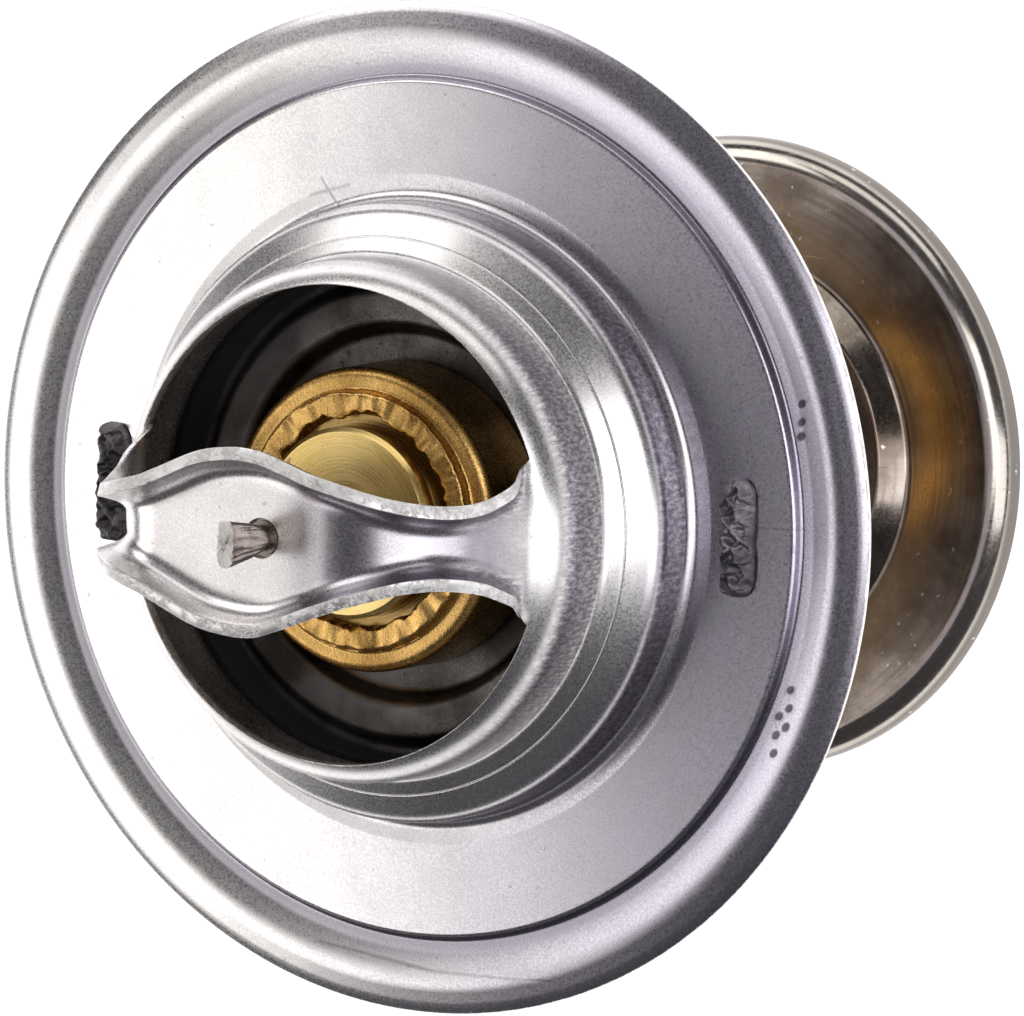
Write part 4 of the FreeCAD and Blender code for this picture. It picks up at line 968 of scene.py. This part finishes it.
# Painted light: a pale painted highlight along the skirt's bend, and a thin dark painted outline near its edge.
tone = mixed(tree, step_in(tree, spot["Radius"], 19.4, 20.2, 0.0, 0.6), tone, (0.7, 0.66, 0.6))
tone = mixed(tree, step_in(tree, spot["Radius"], 20.9, 21.1, 0.0, 0.85), tone, (0.16, 0.14, 0.13))
tone = mixed(tree, times(tree, grain["Speck"], 0.6), tone, (0.95, 0.93, 0.9))
tree.links.new(tone, shader["Base Color"])
tree.links.new(step_in(tree, grain["Fine"], 0.3, 0.7, 0.12, 0.24), shader["Roughness"])
relief(tree, shader, calc(tree, "SUBTRACT", times(tree, spun, 0.5), grain["Scratch"]), 0.00002, 0.7)
disc_face = [(2.56, -36.75, 0), (9.6, -36.75, 0.3), (10.1, -35.95, 0.35), (12.2, -35.95, 0.6),
             (13.7, -37.45, 0.8), (21.2, -37.45, 1.8), (21.2, -39.45, 0)]
disc_thickness = 0.8
disc_front = rounded_outline(disc_face)
disc_back = behind(disc_front[::-1], disc_thickness)[::-1]
disc = turned("bypass_plate", disc_front + disc_back[::-1], steps=256)
dress(disc, disc_finish, "bypass_valve", "disc_steel", "bypass_disc")

# Retaining ring: an open ring of spring steel, snapped into the stem's groove. It keeps the disc from
# sliding off.
ring = from_cad("snap_ring", "retaining_ring")
dress(ring, spring_finish, "element", "spring_steel", "retaining_ring")

# Floor: pale and plain, low enough that the disc clears it when the valve is fully open.
floor_height = -0.049
floor_mesh = bpy.data.meshes.new("studio_floor")
floor_mesh.from_pydata([(x, y, floor_height) for x, y in ((-4, -4), (4, -4), (4, 4), (-4, 4))], [], [(0, 1, 2, 3)])
floor = bpy.data.objects.new("studio_floor", floor_mesh)
bpy.context.scene.collection.objects.link(floor)
paper = bpy.data.materials.new("pale paper")
paper.use_nodes = True
paper_face = paper.node_tree.nodes["Principled BSDF"].inputs
for label, value in (("Base Color", (0.95, 0.95, 0.95, 1)), ("Roughness", 1.0),
                     ("Emission Color", (1, 1, 1, 1)), ("Emission Strength", 0.75)):
    paper_face[label].default_value = value
floor_mesh.materials.append(paper)

# Lights: area lights as soft boxes round the part, all turned towards it and none seen by the camera. The
# sky is white to the camera, and faint and even in the metal.
world = bpy.data.worlds.new("studio")
bpy.context.scene.world = world
world.use_nodes = True
sky = world.node_tree
seen = sky.nodes.new("ShaderNodeLightPath").outputs["Is Camera Ray"]
sky.links.new(mixed(sky, seen, (0.062, 0.06, 0.066), (1.0, 1.0, 1.0)), sky.nodes["Background"].inputs["Color"])
for name, place, width, height, power, colour in (
        ("round the lens", (0.3, 0.07, 0.52), 0.36, 0.36, 1.0, (1, 0.99, 0.985)),
        ("right sail", (0.54, -0.08, 0.3), 0.3, 0.5, 0.95, (0.98, 0.975, 1)),
        ("left sail", (-0.5, -0.12, 0.42), 0.5, 0.5, 1.35, (1, 0.98, 0.95)),
        ("top strip", (0.05, 0.55, 0.25), 0.6, 0.2, 0.5, (1, 0.99, 0.97)),
        ("upper left", (-0.36, 0.44, 0.36), 0.34, 0.34, 0.8, (1, 0.985, 0.97))):
    lamp = bpy.data.lights.new(name, "AREA")
    lamp.shape = "RECTANGLE"
    lamp.size, lamp.size_y = width, height
    lamp.energy = power
    lamp.color = colour
    box = bpy.data.objects.new(name, lamp)
    box.location = place
    box.rotation_euler = (-Vector(place)).to_track_quat("-Z", "Y").to_euler()
    box.visible_camera = False
    bpy.context.scene.collection.objects.link(box)

# Camera: far away with a long lens, as the photograph's outlines show hardly any perspective.
scene = bpy.context.scene
lens = bpy.data.cameras.new("long_lens")
lens.sensor_width = 36.0
lens.lens = 1400.0
lens.clip_start, lens.clip_end = 0.1, 20.0
camera = bpy.data.objects.new("long_lens", lens)
scene.collection.objects.link(camera)
right = Vector((0.8500, 0.0156, -0.5259))
up = Vector((-0.0764, 0.9923, -0.0941))
towards = Vector((0.5208, 0.1202, 0.8451))
aim_right, distance = 4.84 * mm, 2.626
place = right * aim_right + towards * distance
camera.matrix_world = Matrix([[right.x, up.x, towards.x, place.x], [right.y, up.y, towards.y, place.y],
                              [right.z, up.z, towards.z, place.z], [0, 0, 0, 1]])
scene.camera = camera
scene.view_settings.view_transform = "Standard"
